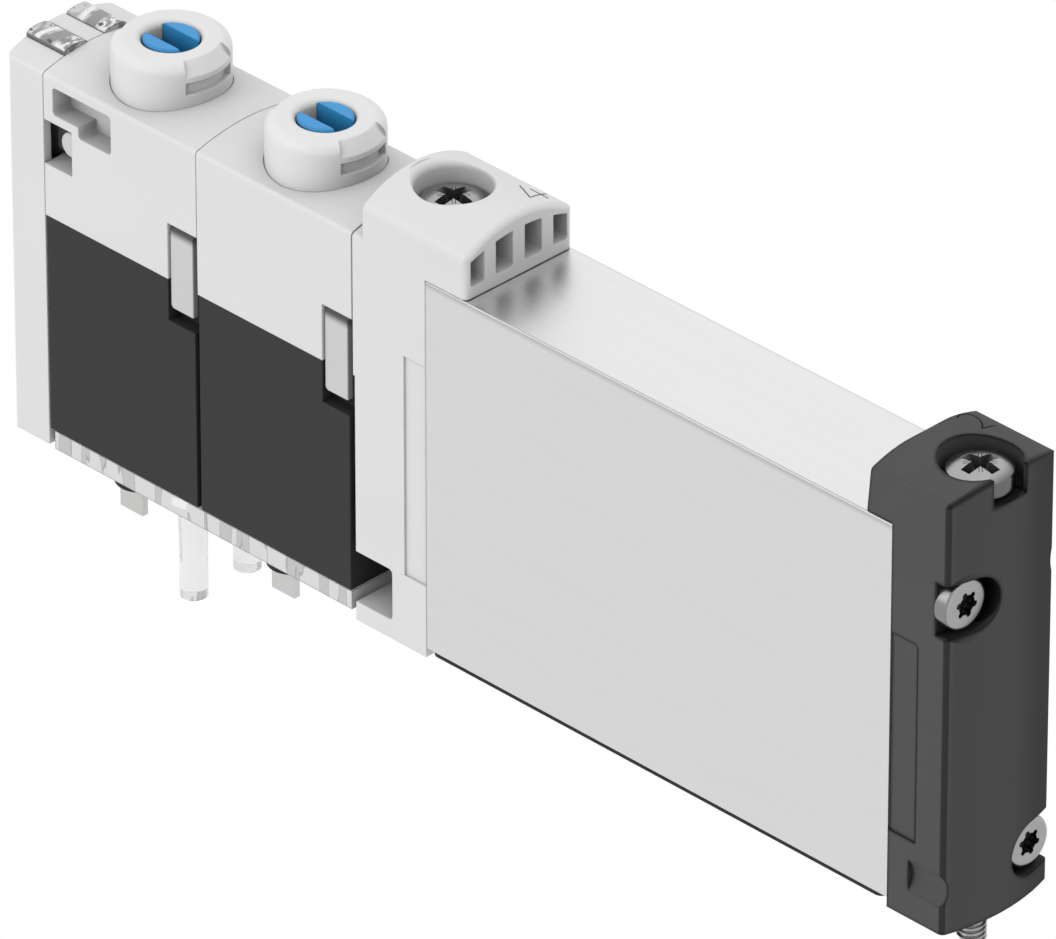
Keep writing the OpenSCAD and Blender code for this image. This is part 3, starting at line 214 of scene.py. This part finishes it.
# %% Plastics
def plastic(name, color, roughness, grain=0.0000012, edge=0.00012, specular=0.45, drift=0.03):
    made = Finish(name, color, roughness, specular=specular)
    cloud = made.noise(160, 3)
    fine = made.noise(9000, 2)
    dark = tuple(c * (1 - drift) for c in color)
    light = tuple(min(1, c * (1 + drift)) for c in color)
    made.set("Base Color", made.blend(cloud, dark, light))
    made.set("Roughness", roughness - 0.04 + fine * 0.08)
    made.bump(fine, grain, 0.6, edge)
    return made


white_plastic = plastic("white_plastic", (0.74, 0.74, 0.74), 0.46)
dome_plastic = plastic("dome_plastic", (0.78, 0.78, 0.775), 0.40)
clip_plastic = plastic("clip_plastic", (0.60, 0.60, 0.595), 0.45)
black_plastic = plastic("black_plastic", (0.072, 0.072, 0.074), 0.52, specular=0.15, drift=0.06)
coil_plastic = plastic("coil_plastic", (0.036, 0.036, 0.037), 0.46, specular=0.12, drift=0.06)
cap_plastic = plastic("cap_plastic", (0.078, 0.078, 0.080), 0.5, specular=0.15, drift=0.05)
blue_plastic = plastic("blue_plastic", (0.035, 0.30, 0.66), 0.42)
natural_plastic = plastic("natural_plastic", (0.72, 0.69, 0.60), 0.5)
rubber = plastic("black_rubber", (0.012, 0.012, 0.013), 0.62, specular=0.3, drift=0.2)
# painted shade of the engraved grooves in the two figures
groove_shade_grey = plastic("engraved_shade_grey", (0.07, 0.07, 0.07), 0.6, specular=0.2)
groove_shade_black = plastic("engraved_shade_black", (0.003, 0.003, 0.003), 0.7, specular=0.1)
print("plastics:", len(bpy.data.materials))

# %% [markdown]
# Each pilot is held by a light grey clip, which has a slope along its upper and its right
# edge. In the picture these slopes are dark grey. Less light from above and from the
# right would do that too, but it would dull all the white faces that look the same way.
# So shade is painted instead: the plastic's colour gets darker towards the two edges.

# %% Retaining clips
clip_x, clip_z = clip_plastic.along(0), clip_plastic.along(2)
side_from, side_to, top_from, top_to = 0.28, 0.16, 1.1, 0.3
for number in (1, 2):
    low, high = box_mm(f"retaining_clip_{number}")
    here = clip_plastic.band(clip_x, low.x - 0.2, high.x + 0.2, 0.05)
    side = clip_plastic.rise(clip_x, high.x - side_from, high.x - side_to)
    upper = clip_plastic.rise(clip_z, high.z - top_from, high.z - top_to)
    # painted shade on the right and the upper slope
    clip_plastic.darken(here * side, 0.17)
    clip_plastic.darken(here * upper, 0.09)
    print(f"clip {number} from x =", round(low.x, 2), "to", round(high.x, 2), "mm")

# %% [markdown]
# The black cap closes the body on the right. Its end face and its top are both slightly arched,
# and its front edge is round. Shade is painted into its colour: the round edges read as soft
# dark lines, the end face is darker, and its far side is the darkest. A mask for such a line is
# the distance to the two faces that meet there. It follows the arch and is the same from every
# side.

# %% Black cap
half_width, skin_from, skin_to = 5.0, 4.84, 4.9
end_arch, top_arch = 0.83, 0.95
cap_end, _, cap_top = box_mm("end_cap")[1]
cap_x, cap_y, cap_z = (cap_plastic.along(axis) for axis in range(3))
to_end = cap_end - cap_y * cap_y * (end_arch / half_width ** 2) - cap_x
to_top = cap_top - cap_y * cap_y * (top_arch / half_width ** 2) - cap_z
to_side = half_width - cap_plastic.size(cap_y)
# painted shade: soft dark lines along the round edges, then a darker end face and far side
cap_plastic.darken(cap_plastic.edges(0.0005), 0.25)
cap_plastic.darken(1 - cap_plastic.rise(to_end + to_side, 0.22, 0.33), 0.34)
cap_plastic.darken(1 - cap_plastic.rise(to_end + to_top, 0.2, 0.42), 0.40)
cap_plastic.darken(cap_plastic.rise(cap_y, -2.5, 7.5), 0.45)
cap_plastic.darken(cap_plastic.rise(cap_x, cap_end - 0.8, cap_end - 0.6)
                   * cap_plastic.rise(cap_y, -4.95, -4.85), 0.74)
cap_plastic.darken((1 - cap_plastic.rise(to_end, 0.04, 0.1))
                   * cap_plastic.rise(cap_y, 0.3, 5.2), 0.08)
print("cap ends at", round(cap_end, 2), "mm")

# %% [markdown]
# A shallow panel is moulded into both sides of the cap. Its step is only 0.15 mm high and hardly
# shows in even light, while the picture has a fine dark line along its right and upper edge.
# This shade of the step is painted as a line, drawn by a mask in three parts: down the side,
# along the top, and round the corner between them.

# %% Line of the cap's panel
panel_end, panel_low, panel_top, corner_r, half_line = 23.55, 5.6, 20.9, 0.25, 0.12
cap_skin = cap_plastic.rise(cap_plastic.size(cap_y), skin_from, skin_to)
past_end = cap_x - (panel_end - corner_r)
past_top = cap_z - (panel_top - corner_r)
beyond_end, beyond_top = past_end > 0, past_top > 0
inner, outer = corner_r - half_line, corner_r + half_line
side_line = (beyond_end * (1 - beyond_top) * (cap_z > panel_low)
             * cap_plastic.band(past_end, inner, outer, 0.04))
top_line = (beyond_top * (1 - beyond_end) * 0.5
            * cap_plastic.band(past_top, inner, outer, 0.04))
corner_line = (beyond_end * beyond_top
               * cap_plastic.band(past_end * past_end + past_top * past_top,
                                  inner ** 2, outer ** 2, 0.02))
# painted shade of the panel's step
cap_plastic.darken((side_line + top_line + corner_line) * cap_skin, 0.08)
print("panel from z =", panel_low, "to", panel_top, "mm")

# %% [markdown]
# The cap has a well for its mounting screw and a pocket for each of the two screws that hold it.
# In the picture they fade to black at the bottom. Light passed between their walls would be too
# bright for that, so shade is painted: the plastic darkens with the depth, inside each hollow's
# radius and not on the outer faces.

# %% Wells and pockets in the cap
def hollow(first, first_at, second, second_at, radius, depth, top, bottom):
    """Painted shade: darker towards the bottom of a round hollow."""
    across, along = first - first_at, second - second_at
    inside = 1 - cap_plastic.rise(across * across + along * along,
                                  radius ** 2 - 0.05, radius ** 2 + 0.05)
    inside = inside * (1 - cap_skin)
    cap_plastic.darken(inside * (1 - cap_plastic.rise(depth, bottom, top)), 0.22)


screw_low, screw_high = box_mm("cap_mounting_screw")
hollow(cap_x, (screw_low.x + screw_high.x) / 2, cap_y, 0, 2.78,
       cap_z, screw_high.z + 0.1, screw_high.z - 1.2)
fix_head_r, pocket_r = 1.9, 2.6
fix_low, fix_high = box_mm("cap_fixing_screws")
fix_places = ((fix_low.y + fix_head_r, fix_high.z - fix_head_r),
              (fix_high.y - fix_head_r, fix_low.z + fix_head_r))
for y, z in fix_places:
    hollow(cap_y, y, cap_z, z, pocket_r, cap_x, cap_end - 0.1, cap_end - 0.9)
print("pockets at y, z =", [(round(y, 2), round(z, 2)) for y, z in fix_places], "mm")

# %% [markdown]
# The valve's metal is either drawn or turned. Brushed metal has long fine scratches: a
# noise that is stretched along one axis gives them, and they change the colour, the gloss
# and the surface a little. Machined steel only has a fine cloud. Painted scratches would
# repeat, while noise doesn't.

# %% Metals
def brushed(name, color, roughness, scale, edge=0.00005, depth=0.0000008):
    made = Finish(name, color, roughness, metallic=1.0)
    long_marks = made.noise(1.0, 4, made.stretched(scale))
    fine_marks = made.noise(3.1, 2, made.stretched(scale))
    marks = long_marks * 0.6 + fine_marks * 0.4
    made.set("Base Color", made.blend(marks, tuple(c * 0.95 for c in color),
                                      tuple(min(1, c * 1.04) for c in color)))
    made.set("Roughness", roughness - 0.03 + marks * 0.06)
    made.bump(marks, depth, 0.4, edge)
    return made


def machined(name, color, roughness, edge=0.00006, depth=0.000003):
    made = Finish(name, color, roughness, metallic=1.0)
    cloud = made.noise(700, 3)
    made.set("Base Color", made.blend(cloud, tuple(c * 0.85 for c in color), color))
    made.set("Roughness", roughness - 0.08 + cloud * 0.16)
    made.bump(cloud, depth, 0.5, edge)
    return made


body_metal = brushed("brushed_aluminium", (0.81, 0.81, 0.81), 0.34, (60, 2600, 2600), edge=0)
spool_metal = brushed("turned_aluminium", (0.78, 0.78, 0.78), 0.3, (2600, 60, 60))
copper = brushed("copper_wire", (0.62, 0.27, 0.12), 0.35, (10, 10, 9000))
fine_cut = 0.0000008
screw_steel = machined("screw_steel", (0.45, 0.45, 0.45), 0.26, depth=fine_cut)
# painted shade in the cross recess of the mounting screws
recess_shade_steel = machined("recess_shade_steel", (0.14, 0.14, 0.14), 0.45, depth=fine_cut)
socket_steel = machined("socket_steel", (0.50, 0.50, 0.50), 0.30, depth=fine_cut)
spring_steel = machined("spring_steel", (0.55, 0.55, 0.56), 0.3)
magnet_steel = machined("magnetic_steel", (0.40, 0.40, 0.41), 0.4)
contact_metal = machined("contact_metal", (0.66, 0.66, 0.65), 0.35)
nozzle_brass = machined("nozzle_brass", (0.62, 0.46, 0.20), 0.3)
print("plastics and metals:", len(bpy.data.materials))

# %% [markdown]
# The body is an aluminium profile, brushed along its length. Shade is painted into its colour:
# its sides are darker than its top, the profile's edge radius shows as a grey line under the top
# edge, and a thin dark line runs along the far edge. A thin dark line also marks the joint to
# the cover. All of these are masks, because the CAD body keeps its plain edges.

# %% Body
body_low, body_high = box_mm("valve_body")
body_x, body_y, body_z = (body_metal.along(axis) for axis in range(3))
both_sides = body_metal.rise(body_metal.size(body_y), skin_from, skin_to)
under_top = body_metal.rise(body_z, body_high.z - 0.65, body_high.z)
at_cover = 1 - body_metal.rise(body_x, body_low.x + 0.06, body_low.x + 0.12)
far_edge = (body_metal.rise(body_y, 4.84, 4.92)
            * body_metal.rise(body_z, body_high.z - 0.04, body_high.z - 0.02))
# painted shade on the sides, under the top edge and along the far edge; the line at the cover is
# a dark joint
for mask, share in ((both_sides, 0.88), (both_sides * under_top, 0.68),
                    (both_sides * at_cover, 0.55), (far_edge, 0.45)):
    body_metal.darken(mask, share)
print("body from x =", round(body_low.x, 2), "to", round(body_high.x, 2), "mm")

# %% [markdown]
# Four screws are in view. Shade is painted on the domed heads of the two mounting screws, which
# get darker towards the rim on the right. The two screws in the cap have a dark six-lobed socket
# of painted shade and a darker face and side. The socket is a CAD form, so everything inside its
# radius and behind the head's face gets darker.

# %% Screw heads
for node in ("cover_mounting_screw", "cap_mounting_screw"):
    low, high = box_mm(node)
    middle, reach = (low.x + high.x) / 2, (high.x - low.x) / 2
    aside, across = screw_steel.along(0) - middle, screw_steel.along(1)
    apart = aside * aside + across * across
    rim = (screw_steel.rise(apart, (0.55 * reach) ** 2, reach ** 2)
           * (1 - screw_steel.rise(apart, (1.05 * reach) ** 2, (1.1 * reach) ** 2)))
    # painted shade towards the rim on the right
    screw_steel.darken(rim * screw_steel.rise(aside + across, -1.6, 1.2), 0.36)

socket_x, socket_y, socket_z = (socket_steel.along(axis) for axis in range(3))
behind = socket_steel.band(socket_x, fix_high.x - 1.6, fix_high.x - 0.03, 0.015)
for y, z in fix_places:
    aside, above = socket_y - y, socket_z - z
    inside = 1 - socket_steel.rise(aside * aside + above * above, 1.15, 1.25)
    # painted shade inside the socket
    socket_steel.darken(inside * behind, 0.26)
face = socket_steel.rise(socket_x, fix_high.x - 0.06, fix_high.x - 0.02)
shaft = 1 - socket_steel.rise(socket_x, fix_high.x - 0.16, fix_high.x - 0.02)
socket_steel.darken(face, 0.80)
socket_steel.darken(shaft, 0.55)
print("sockets dark up to x =", round(fix_high.x, 2), "mm")

# %% [markdown]
# The light guides are clear plastic with moulded facets. Seen from outside they are not simply
# see-through: each lens shows white and grey facets, and the plate under the coils is a mix of
# clear and white patches. Real facets would need a very fine mesh and many rays. So a clear
# shader and an opaque one are mixed, and the mix and the opaque one's colour follow the place on
# the guide: its white and grey patches, bands and light pins are painted reflections of the
# facets, and its dark edges are painted shade.

# %% Clear plastic
def lens_facets(made):
    """The painted reflections of a lens's facets: patches, and bands that cross it at a slant.
    """
    length, width = made.along(0), made.along(1)
    end, lens_y = box_mm("end_housing")[0].x, 1.85
    middle = made.size(width) - lens_y
    run = length - end + middle * 0.22
    patches = made.noise(1.0, 3, made.stretched((2000, 1300, 900)))
    facets = made.blend(made.rise(patches, 0.35, 0.65), (0.30, 0.30, 0.30), (0.74, 0.74, 0.74))
    facets = made.blend(made.band(run, 1.05, 1.5, 0.04), facets, (0.96, 0.96, 0.96))
    facets = made.blend(made.band(run, 1.75, 2.7, 0.04), facets, (0.33, 0.33, 0.33))
    facets = made.blend(made.band(run, 2.95, 5.0, 0.04) * made.rise(patches, 0.48, 0.5), facets,
                        (0.95, 0.95, 0.95))
    facets = made.blend(made.rise(patches, 0.66, 0.68), facets, (0.10, 0.10, 0.10))
    return made.blend(made.rise(made.size(middle), 0.96, 1.02), facets, (0.20, 0.20, 0.20))


def clear_facets():
    made = Finish("clear_plastic", (0.9, 0.9, 0.9), 0.08, specular=0.5)
    glass = made.node("ShaderNodeBsdfPrincipled", {}, {
        "Base Color": (0.97, 0.975, 0.98, 1), "Roughness": 0.03,
        "Transmission Weight": 1.0, "IOR": 1.49})
    blocks = made.noise(1.0, 2, made.stretched((620, 0, 90)))
    plate = made.blend(made.rise(blocks, 0.47, 0.48), (0.66, 0.66, 0.66), (0.86, 0.86, 0.86))
    plate = made.blend(made.band(blocks, 0.46, 0.475, 0.004), plate, (0.48, 0.48, 0.48))
    height = made.along(2)
    on_lens, on_pin = made.rise(height, 20, 21), 1 - made.rise(height, 0.0, 0.15)
    below = made.blend(on_pin, plate, (0.82, 0.82, 0.82))
    colour = made.blend(on_lens, below, lens_facets(made))
    # painted shade along the edges
    made.set("Base Color", made.blend(made.edges(0.0002) * 0.8, colour, (0.14, 0.14, 0.14)))
    made.bump(made.noise(1500, 2), 0.000002, 0.4, 0.0001)
    painted_facets = Maths(made, made.shader.outputs[0])
    share = 0.80 + on_lens * 0.08 - on_pin * 0.66
    both = made.node("ShaderNodeMixShader", {}, {0: share, 1: glass, 2: painted_facets})
    made.tree.links.new(both.socket, made.tree.nodes["Material Output"].inputs["Surface"])
    return made


clear = clear_facets()
print("clear plastic:", len(clear.tree.nodes), "nodes")

# %% [markdown]
# Each CAD node is one physical piece, so it gets one finish. The pieces of the two pilots
# are alike and share a finish by name, which keeps the list short. Pieces that are hidden
# inside get a finish as well, because they show when the valve is taken apart.

# %% Finishes of the CAD nodes
finishes = {
    "valve_body": body_metal, "spool": spool_metal, "base_gasket": rubber,
    "cover": white_plastic, "end_cap": cap_plastic, "end_housing": white_plastic,
    "piston_14": natural_plastic, "piston_12": natural_plastic,
    "spool_seals": rubber, "piston_seals": rubber, "cover_gasket": rubber,
    "cap_gasket": rubber, "cover_fixing_screws": screw_steel,
    "cap_fixing_screws": socket_steel, "cover_mounting_screw": screw_steel,
    "cap_mounting_screw": screw_steel, "light_guide_front": clear,
    "light_guide_back": clear,
}
per_pilot = {
    "pilot_housing": white_plastic, "pilot_gasket": rubber, "coil_block": coil_plastic,
    "bobbin": natural_plastic, "winding": copper, "yoke": magnet_steel,
    "fixed_core": magnet_steel, "contact_blades": contact_metal, "contact_seals": rubber,
    "nozzle": nozzle_brass, "armature": magnet_steel, "armature_pad": rubber,
    "armature_spring": spring_steel, "override_dome": dome_plastic,
    "override_plunger": natural_plastic, "override_spring": spring_steel,
    "override_button": blue_plastic, "retaining_clip": clip_plastic,
}
for name, finish in per_pilot.items():
    for number in (1, 2):
        finishes[f"{name}_{number}"] = finish
for name, node in nodes.items():
    node.data.materials.clear()
    node.data.materials.append(finishes[name].material)
print("finishes set on", len(finishes), "nodes")

# %% [markdown]
# The finer pieces are modelled as by hand. A primitive is added at its size and place,
# edit mode extrudes or tapers it, and modifiers finish it. Every finished piece gets its
# name, its finish, the body that it rides on and the slot of its finish in one helper, so
# that none of them is forgotten.

# %% Modelling helpers
def only(piece):
    bpy.ops.object.select_all(action="DESELECT")
    piece.select_set(True)
    bpy.context.view_layer.objects.active = piece


def settle(piece, name, finish, body):
    only(piece)
    bpy.ops.object.transform_apply(location=True, rotation=True, scale=True)
    piece.name = name
    piece.data.name = name
    piece.data.materials.clear()
    piece.data.materials.append(finish.material)
    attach(piece, body)
    return piece


def finish_mesh(piece):
    """Merge what lies in one place and turn all faces outwards."""
    only(piece)
    bpy.ops.object.mode_set(mode="EDIT")
    bpy.ops.mesh.select_all(action="SELECT")
    bpy.ops.mesh.remove_doubles(threshold=1e-7)
    bpy.ops.mesh.normals_make_consistent(inside=False)
    bpy.ops.object.mode_set(mode="OBJECT")


def modifier(piece, kind, **settings):
    only(piece)
    made = piece.modifiers.new(kind.lower(), kind)
    for key, value in settings.items():
        setattr(made, key, value)
    bpy.ops.object.modifier_apply(modifier=made.name)


def turned(profile, sides=72):
    """A closed round piece from (radius, height) steps in millimetres, from low to high."""
    bpy.ops.object.select_all(action="DESELECT")
    radius, height = profile[0]
    bpy.ops.mesh.primitive_circle_add(vertices=sides, radius=radius * MM, fill_type="NGON",
                                      location=(0, 0, height * MM))
    piece = bpy.context.object
    bpy.ops.object.mode_set(mode="EDIT")
    bpy.ops.mesh.select_all(action="SELECT")
    for new_radius, new_height in profile[1:]:
        rise = (0, 0, (new_height - height) * MM)
        bpy.ops.mesh.extrude_region_move(TRANSFORM_OT_translate={"value": rise})
        share = new_radius / radius
        bpy.ops.transform.resize(value=(share, share, 1),
                                 center_override=(0, 0, new_height * MM))
        radius, height = new_radius, new_height
    bpy.ops.object.mode_set(mode="OBJECT")
    only(piece)
    bpy.ops.object.transform_apply(location=True, rotation=True, scale=True)
    finish_mesh(piece)
    return piece


# %% [markdown]
# Both mounting screws are the same M2 pan-head screw. Its head is a low dome with a
# crossed recess: two tapered slots, a pit in the middle, and short marks between the
# slots. The dome is turned from a profile, and the recess is cut out by tapered blocks,
# as a punch forms it in the real head.

# %% Screw head
def tapered_block(size, place, share, turn=0.0):
    """A block in millimetres whose underside is pulled in to a share of its size."""
    bpy.ops.object.select_all(action="DESELECT")
    bpy.ops.mesh.primitive_cube_add(size=1, location=Vector(place) * MM)
    piece = bpy.context.object
    piece.scale = Vector(size) * MM
    piece.rotation_euler[2] = turn
    bpy.ops.object.transform_apply(location=True, rotation=True, scale=True)
    for part in (*piece.data.polygons, *piece.data.edges):
        part.select = False
    for vertex in piece.data.vertices:
        vertex.select = vertex.co.z < place[2] * MM
    bpy.ops.object.mode_set(mode="EDIT")
    bpy.ops.transform.resize(value=(share[0], share[1], 1),
                             center_override=(place[0] * MM, place[1] * MM, 0))
    bpy.ops.object.mode_set(mode="OBJECT")
    return piece


def cut_out(piece, cutter):
    modifier(piece, "BOOLEAN", operation="DIFFERENCE", object=cutter, solver="EXACT")
    bpy.data.objects.remove(cutter)


head_d, head_h, dome_h = 4.65, 1.7, 0.5
head_r = head_d / 2
ball_r = (head_r ** 2 + dome_h ** 2) / (2 * dome_h)
head_profile = [(head_r - 0.12, -head_h), (head_r, -head_h + 0.12), (head_r, -dome_h - 0.1)]
for step in range(7):
    r = (head_r - 0.08) * (1 - step / 6.4)
    head_profile.append((r, math.sqrt(ball_r ** 2 - r ** 2) - ball_r))
screw_head = turned(head_profile)
slot_size, slot_z, slot_taper = (3.3, 0.86, 1.3), -0.55, (0.42, 0.6)
for _ in range(2):
    cut_out(screw_head, tapered_block(slot_size, (0, 0, slot_z), slot_taper))
    only(screw_head)
    screw_head.rotation_euler[2] = math.pi / 2
    bpy.ops.object.transform_apply(rotation=True)
cut_out(screw_head, tapered_block((1.35, 1.35, 1.8), (0, 0, slot_z), (0.5, 0.5), math.pi / 4))
mark_size, mark_at, mark_apart, mark_z = (0.62, 0.07, 0.5), 0.9, 0.11, -0.04
for quarter in range(4):
    for side in (-1, 1):
        angle = math.radians(45 + 90 * quarter)
        across = Vector((-math.sin(angle), math.cos(angle), 0)) * mark_apart * side
        middle = Vector((math.cos(angle), math.sin(angle), 0)) * mark_at + across
        cut_out(screw_head, tapered_block(mark_size, (*middle[:2], mark_z), (0.6, 0.5), angle))
finish_mesh(screw_head)
print("screw head:", len(screw_head.data.polygons), "faces")

# %% [markdown]
# Below the cover and the cap the screws' threaded ends stick out. A thread could be a texture,
# but its outline shows against the white ground. So a three-sided profile is wound up by the
# Screw modifier, 0.4 mm higher with each turn. Shank, thread and head are joined, and the recess
# gets a darker steel as painted shade.

# %% Mounting screws
tip_r, core_r, shank_r, pitch = 0.62, 0.8, 0.9, 0.4
thread_top, first_turn, recess_r, recess_depth = -0.62, 0.35, 1.8, 1.9


def mounting_screw(name, node, body, axis_mm, top, low):
    shank = turned([(tip_r, low), (core_r, low + 0.25), (core_r, thread_top),
                    (shank_r, -0.5), (shank_r, top - head_h)], 40)
    bpy.ops.object.select_all(action="DESELECT")
    bpy.ops.mesh.primitive_circle_add(vertices=3, radius=0.21 * MM, fill_type="NOTHING",
                                      location=(0.83 * MM, 0, (low + first_turn) * MM),
                                      rotation=(math.pi / 2, math.pi / 2, 0))
    ridge = bpy.context.object
    ridge.scale = (1, 0.9, 1)
    bpy.ops.object.transform_apply(location=True, rotation=True, scale=True)
    turns = int((thread_top - low - first_turn) / pitch)
    modifier(ridge, "SCREW", screw_offset=pitch * MM, iterations=turns, steps=28,
             render_steps=28, axis="Z")
    bpy.ops.object.mode_set(mode="EDIT")
    bpy.ops.mesh.select_all(action="SELECT")
    bpy.ops.mesh.fill_holes(sides=0)
    bpy.ops.mesh.normals_make_consistent(inside=False)
    bpy.ops.object.mode_set(mode="OBJECT")
    head = screw_head.copy()
    head.data = screw_head.data.copy()
    bpy.context.collection.objects.link(head)
    head.location.z = top * MM
    only(shank)
    for part in (ridge, head):
        part.select_set(True)
    bpy.ops.object.join()
    screw = bpy.context.object
    bpy.ops.object.shade_smooth_by_angle(angle=math.radians(32))
    screw.location.x = axis_mm * MM
    settle(screw, name, screw_steel, body)
    # faces in the recess get the steel with painted shade
    screw.data.materials.append(recess_shade_steel.material)
    for face in screw.data.polygons:
        out = math.hypot(face.center.x / MM - axis_mm, face.center.y / MM)
        dome = top - ball_r + math.sqrt(ball_r ** 2 - min(out, head_r) ** 2)
        if out < recess_r and top - recess_depth < face.center.z / MM < dome - 0.05:
            face.material_index = 1
    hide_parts(node)
    return screw


for name, node, body, top in (("cover_screw_piece", "cover_mounting_screw", "cover_screw", 32.8),
                              ("cap_screw_piece", "cap_mounting_screw", "cap_screw", 33.05)):
    low, high = box_mm(node)
    made = mounting_screw(name, node, body, (low.x + high.x) / 2, top, low.z)
    print(name, len(made.data.polygons), "faces")
bpy.data.objects.remove(screw_head)

# %% [markdown]
# The two outlets are numbered, 4 on the white cover and 2 on the black cap. The figures are
# engraved, but cutting them would change the CAD mesh. A thin dark line, half sunk into the
# arched plastic, looks the same: its colour is the painted shade in the engraved grooves. Each
# stroke is cut into short steps, and a ray from above finds the surface under each step.

# %% Engraved figures
def surface_height(node, x, y):
    _, place, _, _ = nodes[node].ray_cast(Vector((x, y, 50)) * MM, Vector((0, 0, -1)))
    return place.z / MM


def figure(name, node, strokes, thickness, finish):
    drawing = bpy.data.curves.new(name, "CURVE")
    drawing.dimensions = "3D"
    drawing.bevel_depth = thickness / 2 * MM
    drawing.bevel_resolution = 2
    drawing.use_fill_caps = True
    for stroke in strokes:
        steps = []
        for (x0, y0), (x1, y1) in zip(stroke, stroke[1:]):
            parts = max(1, round(math.hypot(x1 - x0, y1 - y0) / 0.25))
            steps += [(x0 + (x1 - x0) * n / parts, y0 + (y1 - y0) * n / parts)
                      for n in range(parts)]
        steps.append(stroke[-1])
        line = drawing.splines.new("POLY")
        line.points.add(len(steps) - 1)
        for point, (x, y) in zip(line.points, steps):
            sunk = surface_height(node, x, y) - thickness * 0.38
            point.co = (x * MM, y * MM, sunk * MM, 1)
    piece = bpy.data.objects.new(name, drawing)
    bpy.context.collection.objects.link(piece)
    only(piece)
    bpy.ops.object.convert(target="MESH")
    finish_mesh(bpy.context.object)
    bpy.ops.object.shade_smooth_by_angle(angle=math.radians(50))
    return settle(bpy.context.object, name, finish, "valve")


four = [[(-21.23, 3.26), (-19.28, 2.28), (-19.79, 4.30)], [(-20.62, 3.62), (-18.90, 3.60)]]
two = [[(19.65, 2.56), (19.49, 2.75), (19.42, 2.95), (19.38, 3.2), (19.42, 3.48), (19.52, 3.68),
        (19.68, 3.81), (19.9, 3.87), (20.15, 3.87), (20.4, 3.79), (20.68, 3.65), (20.95, 3.48),
        (21.18, 3.3), (21.4, 3.07), (21.6, 2.81)],
       [(21.64, 2.81), (21.62, 3.43), (21.66, 4.0)]]
# dark lines of painted shade where the grooves are
for made in (figure("figure_4", "cover", four, 0.2, groove_shade_grey),
             figure("figure_2", "end_cap", two, 0.22, groove_shade_black)):
    print(made.name, len(made.data.polygons), "faces")

# %% [markdown]
# A small hatch is open in the side of the first pilot, and in it show a black insert and
# the round end of a white plug. A dark picture on the hatch's back wall would look flat
# from the side, so both are small solid pieces: a bevelled block and a turned pin with a
# groove.

# %% Plug and insert in the hatch
hatch_x = box_mm("pilot_housing_1")[0].x
bpy.ops.object.select_all(action="DESELECT")
bpy.ops.mesh.primitive_cube_add(size=1, location=Vector((hatch_x + 0.75, -3.0, 24.85)) * MM)
insert = bpy.context.object
insert.scale = Vector((1.35, 1.7, 2.6)) * MM
bpy.ops.object.transform_apply(location=True, rotation=True, scale=True)
modifier(insert, "BEVEL", width=0.15 * MM, segments=3)
settle(insert, "hatch_insert", black_plastic, "valve")
plug = turned([(0.8, 0), (0.95, 0.15), (0.95, 1.5), (0.7, 1.5), (0.7, 1.7), (0.95, 1.7),
               (0.95, 1.95), (0.88, 2.02)], 48)
plug.rotation_euler[0] = math.pi / 2
plug.location = Vector((hatch_x + 1.75, -2.15, 24.5)) * MM
settle(plug, "hatch_plug", white_plastic, "valve")
only(plug)
bpy.ops.object.shade_smooth_by_angle(angle=math.radians(30))
print("hatch starts at x =", round(hatch_x, 2), "mm")

# %% [markdown]
# The picture has a plain white ground. More light on a pale floor would burn out the
# white plastic, so the floor and the sky only look white to the camera, in reflections
# and through clear plastic. The part stands in even white light from all round, and the
# floor neither blocks nor returns any of it.

# %% Floor and sky
def white_to_camera(shading, lit, white, output):
    """White where a camera, glossy or transmission ray ends, the lit shader elsewhere."""
    seen = shading.node("ShaderNodeLightPath", {}, {}, "Is Camera Ray")
    for ray in ("Is Glossy Ray", "Is Transmission Ray"):
        also = shading.node("ShaderNodeLightPath", {}, {}, ray)
        seen = shading.node("ShaderNodeMath", {"operation": "MAXIMUM"}, {0: seen, 1: also})
    both = shading.node("ShaderNodeMixShader", {}, {0: seen, 1: lit, 2: white})
    shading.tree.links.new(both.socket, output)


sky_strength = 0.85
sky = bpy.data.worlds.new("studio_sky")
sky.use_nodes = True
bpy.context.scene.world = sky
in_sky = Shading(sky.node_tree)
sky_light = sky.node_tree.nodes["Background"]
sky_light.inputs["Color"].default_value = (1, 1, 1, 1)
sky_light.inputs["Strength"].default_value = sky_strength
sky_white = in_sky.node("ShaderNodeBackground", {}, {"Color": (1, 1, 1, 1), "Strength": 1.0})
white_to_camera(in_sky, Maths(in_sky, sky_light.outputs[0]), sky_white,
                sky.node_tree.nodes["World Output"].inputs["Surface"])

bpy.ops.mesh.primitive_plane_add(size=6, location=(0, 0, -0.05))
floor = bpy.context.object
floor.name = "studio_floor"
ground = Finish("studio_floor", (0.85, 0.85, 0.85), 0.9)
ground_white = ground.node("ShaderNodeEmission", {}, {"Strength": 1.0})
white_to_camera(ground, Maths(ground, ground.shader.outputs[0]), ground_white,
                ground.tree.nodes["Material Output"].inputs["Surface"])
floor.data.materials.append(ground.material)
floor.visible_diffuse = False
floor.visible_shadow = False
print("sky strength", sky_strength)

# %% [markdown]
# Even light alone would leave the valve flat. A soft lamp from the front and a weaker one
# from above add a little shape, and both are large, as in a studio, so that no hard
# shadow falls. Light isn't passed on between the white walls, which keeps the wells,
# windows and slots as dark as in the picture.

# %% Lamps
lamp_aim = Vector((0, 0, 0.015))
for name, place, power in (("front_lamp", (-0.35, -0.75, 0.45), 1.7),
                           ("top_lamp", (0.1, 0.15, 0.9), 0.6)):
    bpy.ops.object.light_add(type="AREA", location=Vector(place))
    lamp = bpy.context.object
    lamp.name = name
    lamp.data.size = 0.6
    lamp.data.energy = power
    lamp.rotation_euler = (lamp_aim - Vector(place)).to_track_quat("-Z", "Y").to_euler()
    print(name, power, "W")
bpy.context.scene.view_settings.view_transform = "Standard"
bpy.context.scene.cycles.diffuse_bounces = 0
